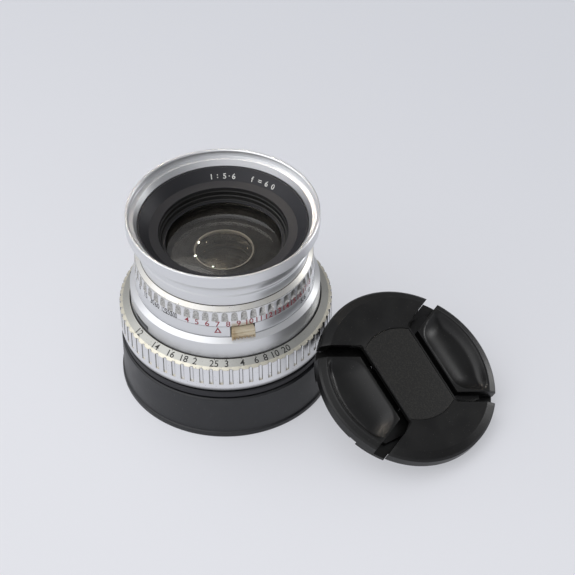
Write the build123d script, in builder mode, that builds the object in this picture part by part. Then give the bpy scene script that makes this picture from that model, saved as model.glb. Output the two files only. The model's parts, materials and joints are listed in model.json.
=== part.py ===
from build123d import *
import math
import os

# A wide-angle camera lens with a leaf shutter between its glasses, standing on its rear cap,
# with its pinch-type front cap leaning against the focusing ring.
# Millimetres. The lens axis is +Z, Z = 0 is the underside of the rear cap, and the index
# marks of the rings face -Y.

os.makedirs("parts", exist_ok=True)

# ---- Clearances ----
seat_gap = 0.05  # radial play of a piece screwed or pressed into another
turn_gap = 0.2  # radial play of a turning ring
face_gap = 0.15  # axial play between rings that turn past each other
pin_play = 0.05  # radial play of a pivot pin in its hole

# ---- Rear cap ----
rear_cap_radius = 39.4
rear_cap_height = 19.1
rear_cap_wall = 1.8
rear_cap_floor = 1.8
rear_cap_foot = 0.6  # how far the foot flange stands out
rear_cap_foot_height = 2.4
cap_socket_wall = 1.5
cap_lug_thickness = 2.1

# ---- Rear bayonet ----
bayonet_radius = 29.0
bayonet_wall = 2.0
lug_count = 4
lug_reach = 3.5
lug_height = 2.2
lug_angle = 40.0
lug_low = 9.6  # underside of the lens lugs
mount_radius = 38.7
mount_thickness = 2.7
mount_screw_radius = 1.0
mount_screw_circle = 33.0
screw_slot_width = 0.4
screw_slot_depth = 0.4

# ---- Focusing ring and the fixed tube that it turns on ----
knurl_radius = 39.6
focus_ring_height = 13.5
focus_ring_wall = 2.4
focus_ring_heel = 1.2  # how far the ring's lower edge is rounded in
focus_ring_heel_height = 2.4
flute_count = 68
flute_first = -92.3  # heading of one flute
flute_radius = 0.95
flute_depth = 0.6
flute_low = 4.2  # above the ring's underside
flute_length = 7.0
scale_lip_height = 1.9
scale_lip_radius = 35.5
fixed_tube_wall = 1.6
fixed_tube_flange = 1.6
focus_back = 1.85  # travel of the shutter unit towards the camera, from rest
guide_key_width = 3.0
guide_key_length = 3.6

# ---- Shutter unit ----
housing_radius = 35.25
housing_wall = 2.6
housing_height = 18.8
housing_bevel = 1.9
housing_bevel_height = 1.5
deck_thickness = 2.2
deck_bore = 25.8
light_bore = 11.6  # free radius through the shutter and iris
plate_thickness = 1.4
blade_count = 5
blade_thickness = 0.15
blade_pitch = 0.3
blade_pivot_circle = 18.5
blade_pin_radius = 0.5
blade_outer = 20.3
blade_tongue = 16.6
chamber_wall = 2.0
pillar_circle = 27.5
pillar_radius = 1.6
screw_shank = 0.8
sync_slot_angle = 30.0
sync_slot_heading = -158.0
sync_slot_width = 2.4
sync_knob_depth = 0.4  # how far the lever's knob stays behind the housing's face

# ---- Exposure rings ----
exposure_ring_radius = 33.2
carrier_radius = 29.2
carrier_wall = 1.6
aperture_ring_height = 4.85
speed_ring_height = 8.55
speed_cone_height = 1.7
speed_cone_reach = 1.8
scallop_count = 59
scallop_first = -95.5  # heading of one scallop
scallop_radius = 2.2
scallop_depth = 0.5
scallop_length = 4.0
finger_depth = 1.5
finger_width = 3.0
finger_heading = 60.0
aperture_turn = 60.0  # from wide open to smallest, in degrees
key_width = 8.8
key_heading = -78.4
key_height = 4.3
key_stand = 2.2
key_travel = 1.0

# ---- Front barrel, cell and glasses ----
barrel_foot_radius = 31.2
barrel_foot_height = 7.0
front_ring_radius = 35.6
front_ring_height = 5.2
front_ring_rise = 12.2  # from the barrel's foot to the underside of the front ring's wall
filter_seat_radius = 34.4
filter_seat_depth = 2.3
name_ring_radius = 31.2
name_ring_height = 4.5
name_cone_reach = 3.5  # how far the lettered cone slopes in
name_cone_foot = 0.9  # height of the cone's foot above the ring's underside
cell_radius = 27.4
cell_flange = 1.0
front_glass_radius = 22.0
front_glass_edge = 2.7
front_glass_curve = 90.0
front_glass_hollow = 70.0
inner_glass_radius = 11.4
inner_glass_edge = 3.0
rear_cell_radius = 16.0
rear_glass_radius = 13.0
rear_glass_edge = 4.0
glass_ring_height = 1.2
cocking_circle = 21.4
cocking_radius = 1.9
cocking_length = 12.0
cocking_heading = -90.0

# ---- Front cap ----
pinch_cap_radius = 35.2
pinch_cap_height = 8.2
pinch_cap_skin = 1.6
pinch_cap_side = 3.6
spigot_height = 2.8
spigot_inset = 2.0
spigot_wall = 1.6
window_edge = 11.1
window_corner = 17.5
window_flare = 23.0
lever_edge = 13.9
lever_corner = 13.8
lever_wall = 1.0
lever_travel = 1.8
lever_sink = 0.7  # how far the levers' walls lie under the face
panel_radius = 19.0
panel_depth = 0.7
cap_tilt = 26.2
cap_heading = -38.5  # compass direction, from +X, in which the cap slopes down
cap_place = -23.5  # compass direction of the cap's centre from the lens axis
cap_pinch_heading = 34.0
lean_gap = 0.55

# ---- Levels worked out from the sizes above ----
mount_low = rear_cap_height + 0.3
mount_top = mount_low + mount_thickness
tube_floor = mount_top + fixed_tube_flange
focus_low = mount_top + 0.8
focus_top = focus_low + focus_ring_height
bore_radius = knurl_radius - focus_ring_wall
tube_outer = bore_radius - turn_gap
tube_inner = tube_outer - fixed_tube_wall
tube_top = focus_top - scale_lip_height - face_gap
housing_low = tube_floor + focus_back + 0.65
housing_top = housing_low + housing_height
housing_inner = housing_radius - housing_wall
deck_low = housing_top - deck_thickness
plate_top = deck_low - 4.8
plate_low = plate_top - plate_thickness
shoulder_radius = housing_inner - 0.7
shutter_stack = blade_count * blade_pitch
chamber_radius = blade_outer + 0.7
rim_inner = chamber_radius + 1.1
rim_outer = rim_inner + chamber_wall
cover_low = plate_top + shutter_stack + 0.2
iris_rim = shutter_stack + 0.5
cage_top = plate_low - iris_rim
cage_low = cage_top - 1.2
carrier_foot = 1.2
aperture_low = housing_top + face_gap
aperture_top = aperture_low + aperture_ring_height
speed_low = aperture_top + face_gap
speed_top = speed_low + speed_ring_height
ring_bore = carrier_radius + turn_gap
barrel_low = speed_top + face_gap
barrel_step = barrel_low + barrel_foot_height - cell_flange + 0.75
front_wall_low = barrel_low + front_ring_rise
lens_top = front_wall_low + front_ring_height
name_low = barrel_step + cell_flange
glass_top = name_low - 5.2
glass_low = glass_top - front_glass_edge
inner_glass_top = glass_low - 3.0
rear_cell_low = lug_low - 0.6
spigot_radius = pinch_cap_radius - spigot_inset


def upright(*points):
    """A closed outline of (radius, height) points on the upright plane through the axis."""
    with BuildSketch(Plane.XZ) as section:
        with BuildLine():
            Polyline(*points, close=True)
        make_face()
    return section.sketch


def ring_sector(inner, outer, start, sweep, height=0.0):
    """A level sector between two radii, from the start angle through the sweep."""
    with BuildSketch(Plane.XY.offset(height)) as sector:
        with BuildLine():
            inner_arc = CenterArc((0, 0), inner, start, sweep)
            outer_arc = CenterArc((0, 0), outer, start, sweep)
            Line(inner_arc @ 0, outer_arc @ 0)
            Line(inner_arc @ 1, outer_arc @ 1)
        make_face()
    return sector.sketch


def level_ring(inner, outer, height=0.0):
    """A level ring between two radii."""
    with BuildSketch(Plane.XY.offset(height)) as flat:
        Circle(outer)
        Circle(inner, mode=Mode.SUBTRACT)
    return flat.sketch


def finger_way(height):
    """The arc that the aperture finger sweeps through a plate."""
    spare = 4.2
    return ring_sector(
        carrier_radius + turn_gap,
        carrier_radius + finger_depth + 3 * turn_gap,
        finger_heading - spare,
        aperture_turn + 2 * spare,
        height,
    )


def write(builder, name):
    """Label a finished piece and write it to its own file."""
    builder.part.label = name
    export_step(builder.part, f"parts/{name}.step")


# ================= Rear cap =================
cap_lug_low = lug_low + lug_height + 0.4
cap_ring_inner = bayonet_radius + lug_reach + 0.6
with BuildPart() as rear_cap:
    inside = rear_cap_radius - rear_cap_wall
    foot_radius = rear_cap_radius + rear_cap_foot
    revolve(
        upright(
            (0, 0),
            (foot_radius - 0.5, 0),
            (foot_radius, 0.5),
            (foot_radius, rear_cap_foot_height - 0.4),
            (rear_cap_radius, rear_cap_foot_height),
            (rear_cap_radius, rear_cap_height - 0.6),
            (rear_cap_radius - 0.6, rear_cap_height),
            (inside, rear_cap_height),
            (inside, rear_cap_floor),
            (0, rear_cap_floor),
        ),
        axis=Axis.Z,
    )
write(rear_cap, "rear_cap")

with BuildPart() as rear_cap_socket:
    socket_top = cap_lug_low + cap_lug_thickness
    extrude(
        level_ring(cap_ring_inner, cap_ring_inner + cap_socket_wall, rear_cap_floor),
        amount=socket_top - rear_cap_floor,
    )
    for number in range(lug_count):
        start = number * 360 / lug_count - lug_angle / 2
        lug = ring_sector(bayonet_radius + 0.6, cap_ring_inner + 0.3, start, lug_angle - 2, cap_lug_low)
        extrude(lug, amount=cap_lug_thickness)
write(rear_cap_socket, "rear_cap_socket")

# ================= Mount plate with the bayonet tube =================
with BuildPart() as mount_plate:
    bayonet_inner = bayonet_radius - bayonet_wall
    revolve(
        upright(
            (bayonet_inner, lug_low),
            (bayonet_radius, lug_low),
            (bayonet_radius, mount_low),
            (mount_radius - 0.4, mount_low),
            (mount_radius, mount_low + 0.4),
            (mount_radius, mount_top - 0.4),
            (mount_radius - 0.4, mount_top),
            (bayonet_inner, mount_top),
        ),
        axis=Axis.Z,
    )
    for number in range(lug_count):
        start = number * 360 / lug_count - lug_angle / 2
        lug = ring_sector(bayonet_radius - 0.5, bayonet_radius + lug_reach, start, lug_angle, lug_low)
        extrude(lug, amount=lug_height)
    with Locations(Plane.XY.offset(mount_low).rotated((180, 0, 0))):
        with PolarLocations(mount_screw_circle, 4, start_angle=45):
            CounterSinkHole(mount_screw_radius + pin_play, 2 * mount_screw_radius + pin_play)
write(mount_plate, "mount_plate")

with BuildPart() as mount_screw:
    head_low = mount_low + 0.1
    neck_low = head_low + mount_screw_radius
    revolve(
        upright(
            (0, head_low),
            (2 * mount_screw_radius - 0.15, head_low),
            (mount_screw_radius - 0.05, neck_low),
            (mount_screw_radius - 0.05, tube_floor - 0.2),
            (0, tube_floor - 0.2),
        ),
        axis=Axis.Z,
    )
    with BuildSketch(Plane.XY.offset(head_low)):
        Rectangle(2.6 * mount_screw_radius, screw_slot_width)
    extrude(amount=screw_slot_depth, mode=Mode.SUBTRACT)

with BuildPart() as mount_screws:
    with PolarLocations(mount_screw_circle, 4, start_angle=45):
        add(mount_screw.part)
write(mount_screws, "mount_screws")

# ================= Fixed tube, guide keys and focusing ring =================
with BuildPart() as fixed_tube:
    revolve(
        upright(
            (bayonet_radius + 1.5, mount_top),
            (tube_outer, mount_top),
            (tube_outer, tube_top),
            (tube_inner, tube_top),
            (tube_inner, tube_floor),
            (bayonet_radius + 1.5, tube_floor),
        ),
        axis=Axis.Z,
    )
    with BuildSketch(Plane.XY.offset(mount_top)):
        with PolarLocations(mount_screw_circle, 4, start_angle=45):
            Circle(mount_screw_radius + pin_play)
    extrude(amount=fixed_tube_flange, mode=Mode.SUBTRACT)
write(fixed_tube, "fixed_tube")

key_low = tube_floor + 1.2
key_depth = 1.5
with BuildPart() as guide_keys:
    with BuildSketch(Plane.XY.offset(key_low)):
        with PolarLocations(tube_inner - key_depth / 2 - seat_gap - 0.02, 2):
            Rectangle(key_depth, guide_key_width)
    extrude(amount=guide_key_length)
write(guide_keys, "guide_keys")

with BuildPart() as focus_ring:
    lip_low = focus_top - scale_lip_height
    scale_foot = knurl_radius - 1.2
    revolve(
        upright(
            (bore_radius, focus_low),
            (knurl_radius - focus_ring_heel, focus_low),
            (knurl_radius - 0.4 * focus_ring_heel, focus_low + 0.3 * focus_ring_heel_height),
            (knurl_radius, focus_low + focus_ring_heel_height),
            (knurl_radius, lip_low - 0.35),
            (scale_foot, lip_low + 0.35),
            (scale_lip_radius + 0.1, focus_top),
            (scale_lip_radius, focus_top),
            (scale_lip_radius, lip_low),
            (bore_radius, lip_low),
        ),
        axis=Axis.Z,
    )
    with BuildSketch(Plane.XY.offset(focus_low + flute_low)):
        with PolarLocations(
            knurl_radius + flute_radius - flute_depth,
            flute_count,
            start_angle=flute_first,
        ):
            Circle(flute_radius)
    extrude(amount=flute_length + 2.0, mode=Mode.SUBTRACT)
write(focus_ring, "focus_ring")

# ================= Shutter housing =================
with BuildPart() as shutter_housing:
    revolve(
        upright(
            (housing_inner, housing_low),
            (housing_radius, housing_low),
            (housing_radius, housing_top - housing_bevel_height),
            (housing_radius - housing_bevel, housing_top),
            (deck_bore, housing_top),
            (deck_bore, deck_low),
            (shoulder_radius, deck_low),
            (shoulder_radius, plate_top),
            (housing_inner, plate_top),
        ),
        axis=Axis.Z,
    )
    # Ways for the two guide keys
    with BuildSketch(Plane.XY.offset(housing_low)):
        with PolarLocations(housing_radius, 2):
            Rectangle(2 * (key_depth + 0.1), guide_key_width + 2 * turn_gap)
    key_way = key_low + guide_key_length + focus_back + 0.4 - housing_low
    extrude(amount=key_way, mode=Mode.SUBTRACT)
    # Slot of the flash synchronising lever
    slot_low = focus_top + 0.5
    slot_start = sync_slot_heading - sync_slot_angle / 2
    slot = ring_sector(shoulder_radius - 1, housing_radius + 1, slot_start, sync_slot_angle, slot_low)
    extrude(slot, amount=sync_slot_width, mode=Mode.SUBTRACT)
    # Way for the aperture finger through the deck
    extrude(finger_way(deck_low), amount=deck_thickness, mode=Mode.SUBTRACT)
    # Screw holes for the carrier tube
    with BuildSketch(Plane.XY.offset(deck_low)):
        with PolarLocations(pillar_circle, 4, start_angle=-45):
            Circle(screw_shank + pin_play)
    extrude(amount=deck_thickness, mode=Mode.SUBTRACT)
write(shutter_housing, "shutter_housing")

# ================= Flash synchronising lever =================
sync_arm_angle = 6.0
sync_knob_angle = 3.2
with BuildPart() as sync_lever:
    slider = ring_sector(
        shoulder_radius - 2.2,
        shoulder_radius - turn_gap,
        sync_slot_heading - sync_arm_angle / 2,
        sync_arm_angle,
        slot_low - 0.3,
    )
    extrude(slider, amount=sync_slot_width + 0.6)
    knob = ring_sector(
        shoulder_radius - 1.0,
        housing_radius - sync_knob_depth,
        sync_slot_heading - sync_knob_angle / 2,
        sync_knob_angle,
        slot_low + turn_gap,
    )
    extrude(knob, amount=sync_slot_width - 2 * turn_gap)
write(sync_lever, "sync_lever")

# ================= Shutter plates, pillars and screws =================
plate_radius = housing_inner - seat_gap
with BuildPart() as shutter_base_plate:
    extrude(level_ring(light_bore, plate_radius, plate_low), amount=plate_thickness)
    extrude(level_ring(rim_inner, rim_outer, plate_top), amount=cover_low - plate_top)
    extrude(finger_way(plate_low), amount=plate_thickness, mode=Mode.SUBTRACT)
    lever_way = ring_sector(
        shoulder_radius - 2.6,
        plate_radius + 1,
        slot_start - 2,
        sync_slot_angle + 4,
        plate_low,
    )
    extrude(lever_way, amount=plate_thickness, mode=Mode.SUBTRACT)
    with BuildSketch(Plane.XY.offset(plate_low)):
        with PolarLocations(pillar_circle, 4, start_angle=-45):
            Circle(screw_shank + pin_play)
        with PolarLocations(blade_pivot_circle, blade_count):
            Circle(blade_pin_radius + pin_play)
        with PolarLocations(blade_pivot_circle, blade_count, start_angle=36):
            Circle(blade_pin_radius + pin_play)
    extrude(amount=plate_thickness, mode=Mode.SUBTRACT)
write(shutter_base_plate, "shutter_base_plate")

with BuildPart() as shutter_cover_plate:
    extrude(level_ring(light_bore, rim_outer, cover_low), amount=0.9)
    with BuildSketch(Plane.XY.offset(cover_low)):
        with PolarLocations(blade_pivot_circle, blade_count):
            Circle(blade_pin_radius + pin_play)
    extrude(amount=0.9, mode=Mode.SUBTRACT)
write(shutter_cover_plate, "shutter_cover_plate")

with BuildPart() as pillar:
    with BuildSketch(Plane.XY.offset(plate_top)):
        Circle(pillar_radius)
        Circle(screw_shank + pin_play, mode=Mode.SUBTRACT)
    extrude(amount=deck_low - plate_top)

with BuildPart() as pillars:
    with PolarLocations(pillar_circle, 4, start_angle=-45):
        add(pillar.part)
write(pillars, "shutter_pillars")

with BuildPart() as plate_screw:
    screw_top = housing_top + carrier_foot - 0.2
    revolve(
        upright(
            (0, plate_low - 0.9),
            (1.5, plate_low - 0.9),
            (1.5, plate_low),
            (screw_shank, plate_low),
            (screw_shank, screw_top),
            (0, screw_top),
        ),
        axis=Axis.Z,
    )
    with BuildSketch(Plane.XY.offset(plate_low - 0.9)):
        Rectangle(3.2, 0.4)
    extrude(amount=0.35, mode=Mode.SUBTRACT)

with BuildPart() as plate_screws:
    with PolarLocations(pillar_circle, 4, start_angle=-45):
        add(plate_screw.part)
write(plate_screws, "plate_screws")

with BuildPart() as shutter_drive_ring:
    drive_low = plate_top + face_gap
    drive_height = shutter_stack - 0.15
    extrude(level_ring(chamber_radius, chamber_radius + 0.9, drive_low), amount=drive_height)
    notch = ring_sector(chamber_radius - 0.5, chamber_radius + 0.4, -4.0, 8.0, drive_low)
    extrude(notch, amount=drive_height, mode=Mode.SUBTRACT)
write(shutter_drive_ring, "shutter_drive_ring")


def blade(level, pin_low, pin_high):
    """A thin leaf clear of the light, with its pivot pin on the +X side of the axis."""
    with BuildPart() as leaf:
        extrude(ring_sector(light_bore + 0.3, blade_outer, -3.0, 63.0, level), amount=blade_thickness)
        extrude(ring_sector(light_bore + 0.3, blade_tongue, -3.0, 95.0, level), amount=blade_thickness)
        with BuildSketch(Plane.XY.offset(pin_low)):
            with Locations((blade_pivot_circle, 0)):
                Circle(blade_pin_radius)
        extrude(amount=pin_high - pin_low)
    return leaf.part


for number in range(blade_count):
    level = plate_top + face_gap + number * blade_pitch
    with BuildPart() as shutter_blade:
        with Locations(Location((0, 0, 0), (0, 0, number * 360 / blade_count))):
            add(blade(level, plate_top - 0.5, cover_low + 0.7))
    write(shutter_blade, f"shutter_blade_{number + 1}")

# ================= Iris =================
iris_first_pivot = 36.0
with BuildPart() as iris_cage:
    extrude(level_ring(light_bore, rim_outer, cage_low), amount=cage_top - cage_low)
    extrude(level_ring(rim_inner, rim_outer, cage_top), amount=iris_rim)
    # The rim is cut away where the aperture arm swings
    gap_start = finger_heading - 8
    gap = ring_sector(rim_inner - 0.5, rim_outer + 0.5, gap_start, aperture_turn + 16, cage_top)
    extrude(gap, amount=iris_rim, mode=Mode.SUBTRACT)
    with BuildSketch(Plane.XY.offset(cage_low)):
        with PolarLocations(blade_pivot_circle, blade_count, start_angle=iris_first_pivot):
            Circle(blade_pin_radius + pin_play)
    extrude(amount=cage_top - cage_low, mode=Mode.SUBTRACT)
write(iris_cage, "iris_cage")

for number in range(blade_count):
    level = cage_top + 0.2 + number * blade_pitch
    turn = iris_first_pivot + number * 360 / blade_count
    with BuildPart() as iris_blade:
        with Locations(Location((0, 0, 0), (0, 0, turn))):
            add(blade(level, cage_top - 0.8, plate_low + 0.6))
    write(iris_blade, f"iris_blade_{number + 1}")

finger_inner = carrier_radius + 2 * turn_gap
finger_outer = finger_inner + finger_depth
half_finger = math.degrees(finger_width / 2 / finger_inner)
finger_start = finger_heading - half_finger
with BuildPart() as iris_drive_ring:
    iris_drive_low = cage_top + 0.3
    iris_drive_height = shutter_stack - 0.2
    extrude(level_ring(chamber_radius, chamber_radius + 0.9, iris_drive_low), amount=iris_drive_height)
    arm = ring_sector(chamber_radius + 0.4, finger_outer, finger_start, 2 * half_finger, iris_drive_low)
    extrude(arm, amount=iris_drive_height)
    post = ring_sector(finger_inner, finger_outer, finger_start, 2 * half_finger, iris_drive_low)
    extrude(post, amount=aperture_low + 0.9 - iris_drive_low)
write(iris_drive_ring, "iris_drive_ring")

# ================= Carrier tube and exposure rings =================
carrier_bore = carrier_radius - carrier_wall
carrier_top = barrel_step
with BuildPart() as ring_carrier:
    revolve(
        upright(
            (deck_bore, housing_top),
            (carrier_radius, housing_top),
            (carrier_radius, carrier_top),
            (carrier_bore, carrier_top),
            (carrier_bore, housing_top + carrier_foot),
            (deck_bore, housing_top + carrier_foot),
        ),
        axis=Axis.Z,
    )
    with BuildSketch(Plane.XY.offset(housing_top)):
        with PolarLocations(pillar_circle, 4, start_angle=-45):
            Circle(screw_shank + pin_play)
    extrude(amount=carrier_foot, mode=Mode.SUBTRACT)
write(ring_carrier, "ring_carrier")

key_pocket_depth = 2.6
key_play = 0.2
with BuildPart() as aperture_ring:
    extrude(level_ring(ring_bore, exposure_ring_radius, aperture_low), amount=aperture_ring_height)
    # Pocket of the interlock key
    pocket_height = aperture_ring_height + 1
    with Locations(Location((0, 0, 0), (0, 0, key_heading))):
        with Locations((exposure_ring_radius, 0, aperture_low + aperture_ring_height / 2)):
            Box(2 * key_pocket_depth, key_width + 2 * key_play, pocket_height, mode=Mode.SUBTRACT)
    # Socket of the iris finger
    socket = ring_sector(
        finger_inner - 1,
        finger_outer + pin_play,
        finger_start - 0.2,
        2 * half_finger + 0.4,
        aperture_low,
    )
    extrude(socket, amount=1.1, mode=Mode.SUBTRACT)
write(aperture_ring, "aperture_ring")

key_inner = exposure_ring_radius - key_pocket_depth + key_travel + 0.25
key_outer = exposure_ring_radius + key_stand
key_floor = aperture_low + 0.2
with BuildPart() as key_blank:
    with BuildSketch(Plane.XY.offset(key_floor)):
        with Locations(((key_inner + key_outer) / 2, 0)):
            Rectangle(key_outer - key_inner, key_width)
    extrude(amount=key_height)
    chamfer(key_blank.edges().filter_by(Axis.Z).group_by(Axis.X)[-1], 0.5)
    # Serrations along the lower edge
    with BuildSketch(Plane.XY.offset(key_floor)):
        for number in range(6):
            with Locations((key_outer, (number - 2.5) * key_width / 7)):
                Circle(0.4)
    extrude(amount=1.3, mode=Mode.SUBTRACT)

with BuildPart() as interlock_key:
    with Locations(Location((0, 0, 0), (0, 0, key_heading))):
        add(key_blank.part)
write(interlock_key, "interlock_key")

with BuildPart() as speed_ring:
    cone_foot = exposure_ring_radius - 0.3
    revolve(
        upright(
            (ring_bore, speed_low),
            (exposure_ring_radius, speed_low),
            (exposure_ring_radius, speed_low + 2.4),
            (cone_foot, speed_top - speed_cone_height),
            (cone_foot - speed_cone_reach, speed_top),
            (ring_bore, speed_top),
        ),
        axis=Axis.Z,
    )
    scallop_low = speed_low + 2.6
    with BuildSketch(Plane.XY.offset(scallop_low)):
        with PolarLocations(
            exposure_ring_radius + scallop_radius - scallop_depth,
            scallop_count,
            start_angle=scallop_first,
        ):
            Circle(scallop_radius)
    extrude(amount=scallop_length, mode=Mode.SUBTRACT)
write(speed_ring, "speed_ring")

# ================= Front barrel and name ring =================
with BuildPart() as front_barrel:
    with BuildSketch(Plane.XZ):
        with BuildLine():
            rim_top = lens_top - 0.35
            seat_low = lens_top - 0.4 - filter_seat_depth
            foot = (barrel_foot_radius, barrel_low)
            bead_low = (barrel_foot_radius + 0.1, barrel_low + 3.0)
            bead_out = (barrel_foot_radius + 0.8, barrel_low + 3.5)
            bead_top = (barrel_foot_radius + 0.8, barrel_low + 4.7)
            waist = (barrel_foot_radius + 0.4, barrel_low + 5.3)
            flare = (front_ring_radius, front_wall_low)
            Polyline(foot, bead_low, bead_out, bead_top, waist)
            bend = (barrel_foot_radius + 1.3, front_wall_low - 3.4)
            Spline(waist, bend, flare, tangents=[(0.1, 1), (1, 0.75)])
            Polyline(
                flare,
                (front_ring_radius, rim_top),
                (front_ring_radius - 0.35, lens_top),
                (filter_seat_radius + 0.5, lens_top),
                (filter_seat_radius, lens_top - 0.4),
                (filter_seat_radius, seat_low),
                (filter_seat_radius - 1.8, seat_low - 0.2),
                (name_ring_radius + 0.2, name_low + name_ring_height + 0.2),
                (name_ring_radius + 0.2, barrel_step),
                (carrier_radius + seat_gap, barrel_step),
                (carrier_radius + seat_gap, barrel_low),
                foot,
            )
        make_face()
    revolve(axis=Axis.Z)
write(front_barrel, "front_barrel")

ledge_radius = front_glass_radius + 1.8
with BuildPart() as name_ring:
    revolve(
        upright(
            (ledge_radius, name_low),
            (name_ring_radius, name_low),
            (name_ring_radius, name_low + name_ring_height),
            (name_ring_radius - 0.5, name_low + name_ring_height),
            (name_ring_radius - 0.5 - name_cone_reach, name_low + name_cone_foot),
            (ledge_radius, name_low + 0.45),
        ),
        axis=Axis.Z,
    )
write(name_ring, "name_ring")

# ================= Front cell and its glasses =================
cell_low = housing_top + carrier_foot
inner_glass_low = inner_glass_top - inner_glass_edge
back_glass_top = cell_low + glass_ring_height + inner_glass_edge
back_glass_seat = back_glass_top + 0.3
with BuildPart() as front_cell:
    revolve(
        upright(
            (inner_glass_radius + seat_gap, cell_low),
            (cell_radius, cell_low),
            (cell_radius, barrel_step),
            (name_ring_radius, barrel_step),
            (name_ring_radius, name_low),
            (ledge_radius + 0.1, name_low),
            (ledge_radius - 0.5, glass_top + 2.6),
            (front_glass_radius + 0.9, glass_top + 2.4),
            (front_glass_radius + 0.6, glass_top + 1.1),
            (front_glass_radius + seat_gap, glass_top + 0.9),
            (front_glass_radius + seat_gap, glass_low),
            (front_glass_radius - 1.2, glass_low),
            (inner_glass_radius + 0.9, inner_glass_top + 0.8),
            (inner_glass_radius + seat_gap, inner_glass_top + 0.8),
            (inner_glass_radius + seat_gap, inner_glass_low),
            (inner_glass_radius - 1.0, inner_glass_low),
            (inner_glass_radius - 1.0, back_glass_seat),
            (inner_glass_radius + seat_gap, back_glass_seat),
        ),
        axis=Axis.Z,
    )
write(front_cell, "front_cell")


def glass(name, radius, top, edge, crown, hollow):
    """A lens glass: crown and hollow are the radii of its front and back curves.

    A positive crown bulges forwards, and a positive hollow is scooped from behind.
    """

    def sag(curve):
        depth = abs(curve) - math.sqrt(curve**2 - radius**2)
        return math.copysign(depth, curve)

    with BuildPart() as disc:
        with BuildSketch(Plane.XZ):
            with BuildLine():
                front_pole = (0, top + sag(crown))
                front_edge = (radius, top)
                back_edge = (radius, top - edge)
                back_pole = (0, top - edge + sag(hollow))
                RadiusArc(front_pole, front_edge, crown)
                Line(front_edge, back_edge)
                RadiusArc(back_edge, back_pole, -hollow)
                Line(back_pole, front_pole)
            make_face()
        revolve(axis=Axis.Z)
    write(disc, name)


glass(
    "front_glass",
    front_glass_radius,
    glass_top,
    front_glass_edge,
    front_glass_curve,
    front_glass_hollow,
)
glass("second_glass", inner_glass_radius, inner_glass_top, inner_glass_edge, -60.0, 45.0)
glass("third_glass", inner_glass_radius, back_glass_top, inner_glass_edge, 45.0, 150.0)


def glass_ring(name, radius, low, high, lip=0.9):
    """A threaded ring that holds a glass in its bore."""
    with BuildPart() as ring:
        revolve(
            upright((radius - lip, low), (radius, low), (radius, high), (radius - lip, high)),
            axis=Axis.Z,
        )
        chamfer(ring.edges().filter_by(GeomType.CIRCLE).sort_by(SortBy.RADIUS)[:2], 0.2)
    write(ring, name)


crown_rise = 0.35  # how far a glass bulges past the inner edge of its ring
glass_ring("front_glass_ring", front_glass_radius, glass_top + crown_rise, glass_top + 0.85, 0.7)
glass_ring(
    "second_glass_ring",
    inner_glass_radius,
    inner_glass_top + seat_gap,
    inner_glass_top + glass_ring_height,
)
glass_ring(
    "third_glass_ring",
    inner_glass_radius,
    cell_low,
    back_glass_top - inner_glass_edge - seat_gap,
)

# ================= Rear cell and its glasses =================
rear_last_top = rear_cell_low + glass_ring_height + crown_rise + rear_glass_edge
rear_first_top = cage_low - 0.6
rear_first_low = rear_first_top - rear_glass_edge
with BuildPart() as rear_cell:
    bore = rear_glass_radius + seat_gap
    revolve(
        upright(
            (bore, rear_cell_low),
            (rear_cell_radius, rear_cell_low),
            (rear_cell_radius, cage_low - 1.0),
            (rim_outer - 2.0, cage_low - 1.0),
            (rim_outer - 2.0, cage_low),
            (bore, cage_low),
            (bore, rear_first_low),
            (rear_glass_radius - 1.2, rear_first_low),
            (rear_glass_radius - 1.2, rear_last_top + 0.05),
            (bore, rear_last_top + 0.05),
        ),
        axis=Axis.Z,
    )
write(rear_cell, "rear_cell")

glass("rear_inner_glass", rear_glass_radius, rear_first_top, rear_glass_edge, 60.0, 120.0)
glass("rear_glass", rear_glass_radius, rear_last_top, rear_glass_edge, -80.0, -50.0)
glass_ring("rear_glass_ring", rear_glass_radius, rear_cell_low, rear_cell_low + glass_ring_height)

# ================= Rear baffle and cocking shaft =================
baffle_low = mount_low - 5.0
baffle_thickness = 1.8
with BuildPart() as rear_baffle:
    baffle = level_ring(rear_cell_radius + 0.6, bayonet_inner - seat_gap, baffle_low)
    extrude(baffle, amount=baffle_thickness)
    with Locations((0, 0, baffle_low)):
        with Locations(Location((0, 0, 0), (0, 0, cocking_heading))):
            with Locations((cocking_circle, 0, 0)):
                Cylinder(cocking_radius + pin_play, 4 * baffle_thickness, mode=Mode.SUBTRACT)
write(rear_baffle, "rear_baffle")

with BuildPart() as shaft_blank:
    shaft_low = baffle_low - 1.6
    with BuildSketch(Plane.XY.offset(shaft_low)):
        with Locations((cocking_circle, 0)):
            Circle(cocking_radius)
    extrude(amount=cocking_length)
    with BuildSketch(Plane.XY.offset(baffle_low + baffle_thickness + face_gap)):
        with Locations((cocking_circle, 0)):
            Circle(cocking_radius + 0.9)
    extrude(amount=1.6)
    with BuildSketch(Plane.XY.offset(shaft_low)):
        with Locations((cocking_circle, 0)):
            Rectangle(4 * cocking_radius, 0.9)
    extrude(amount=1.2, mode=Mode.SUBTRACT)

with BuildPart() as cocking_shaft:
    with Locations(Location((0, 0, 0), (0, 0, cocking_heading))):
        add(shaft_blank.part)
write(cocking_shaft, "cocking_shaft")

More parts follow.
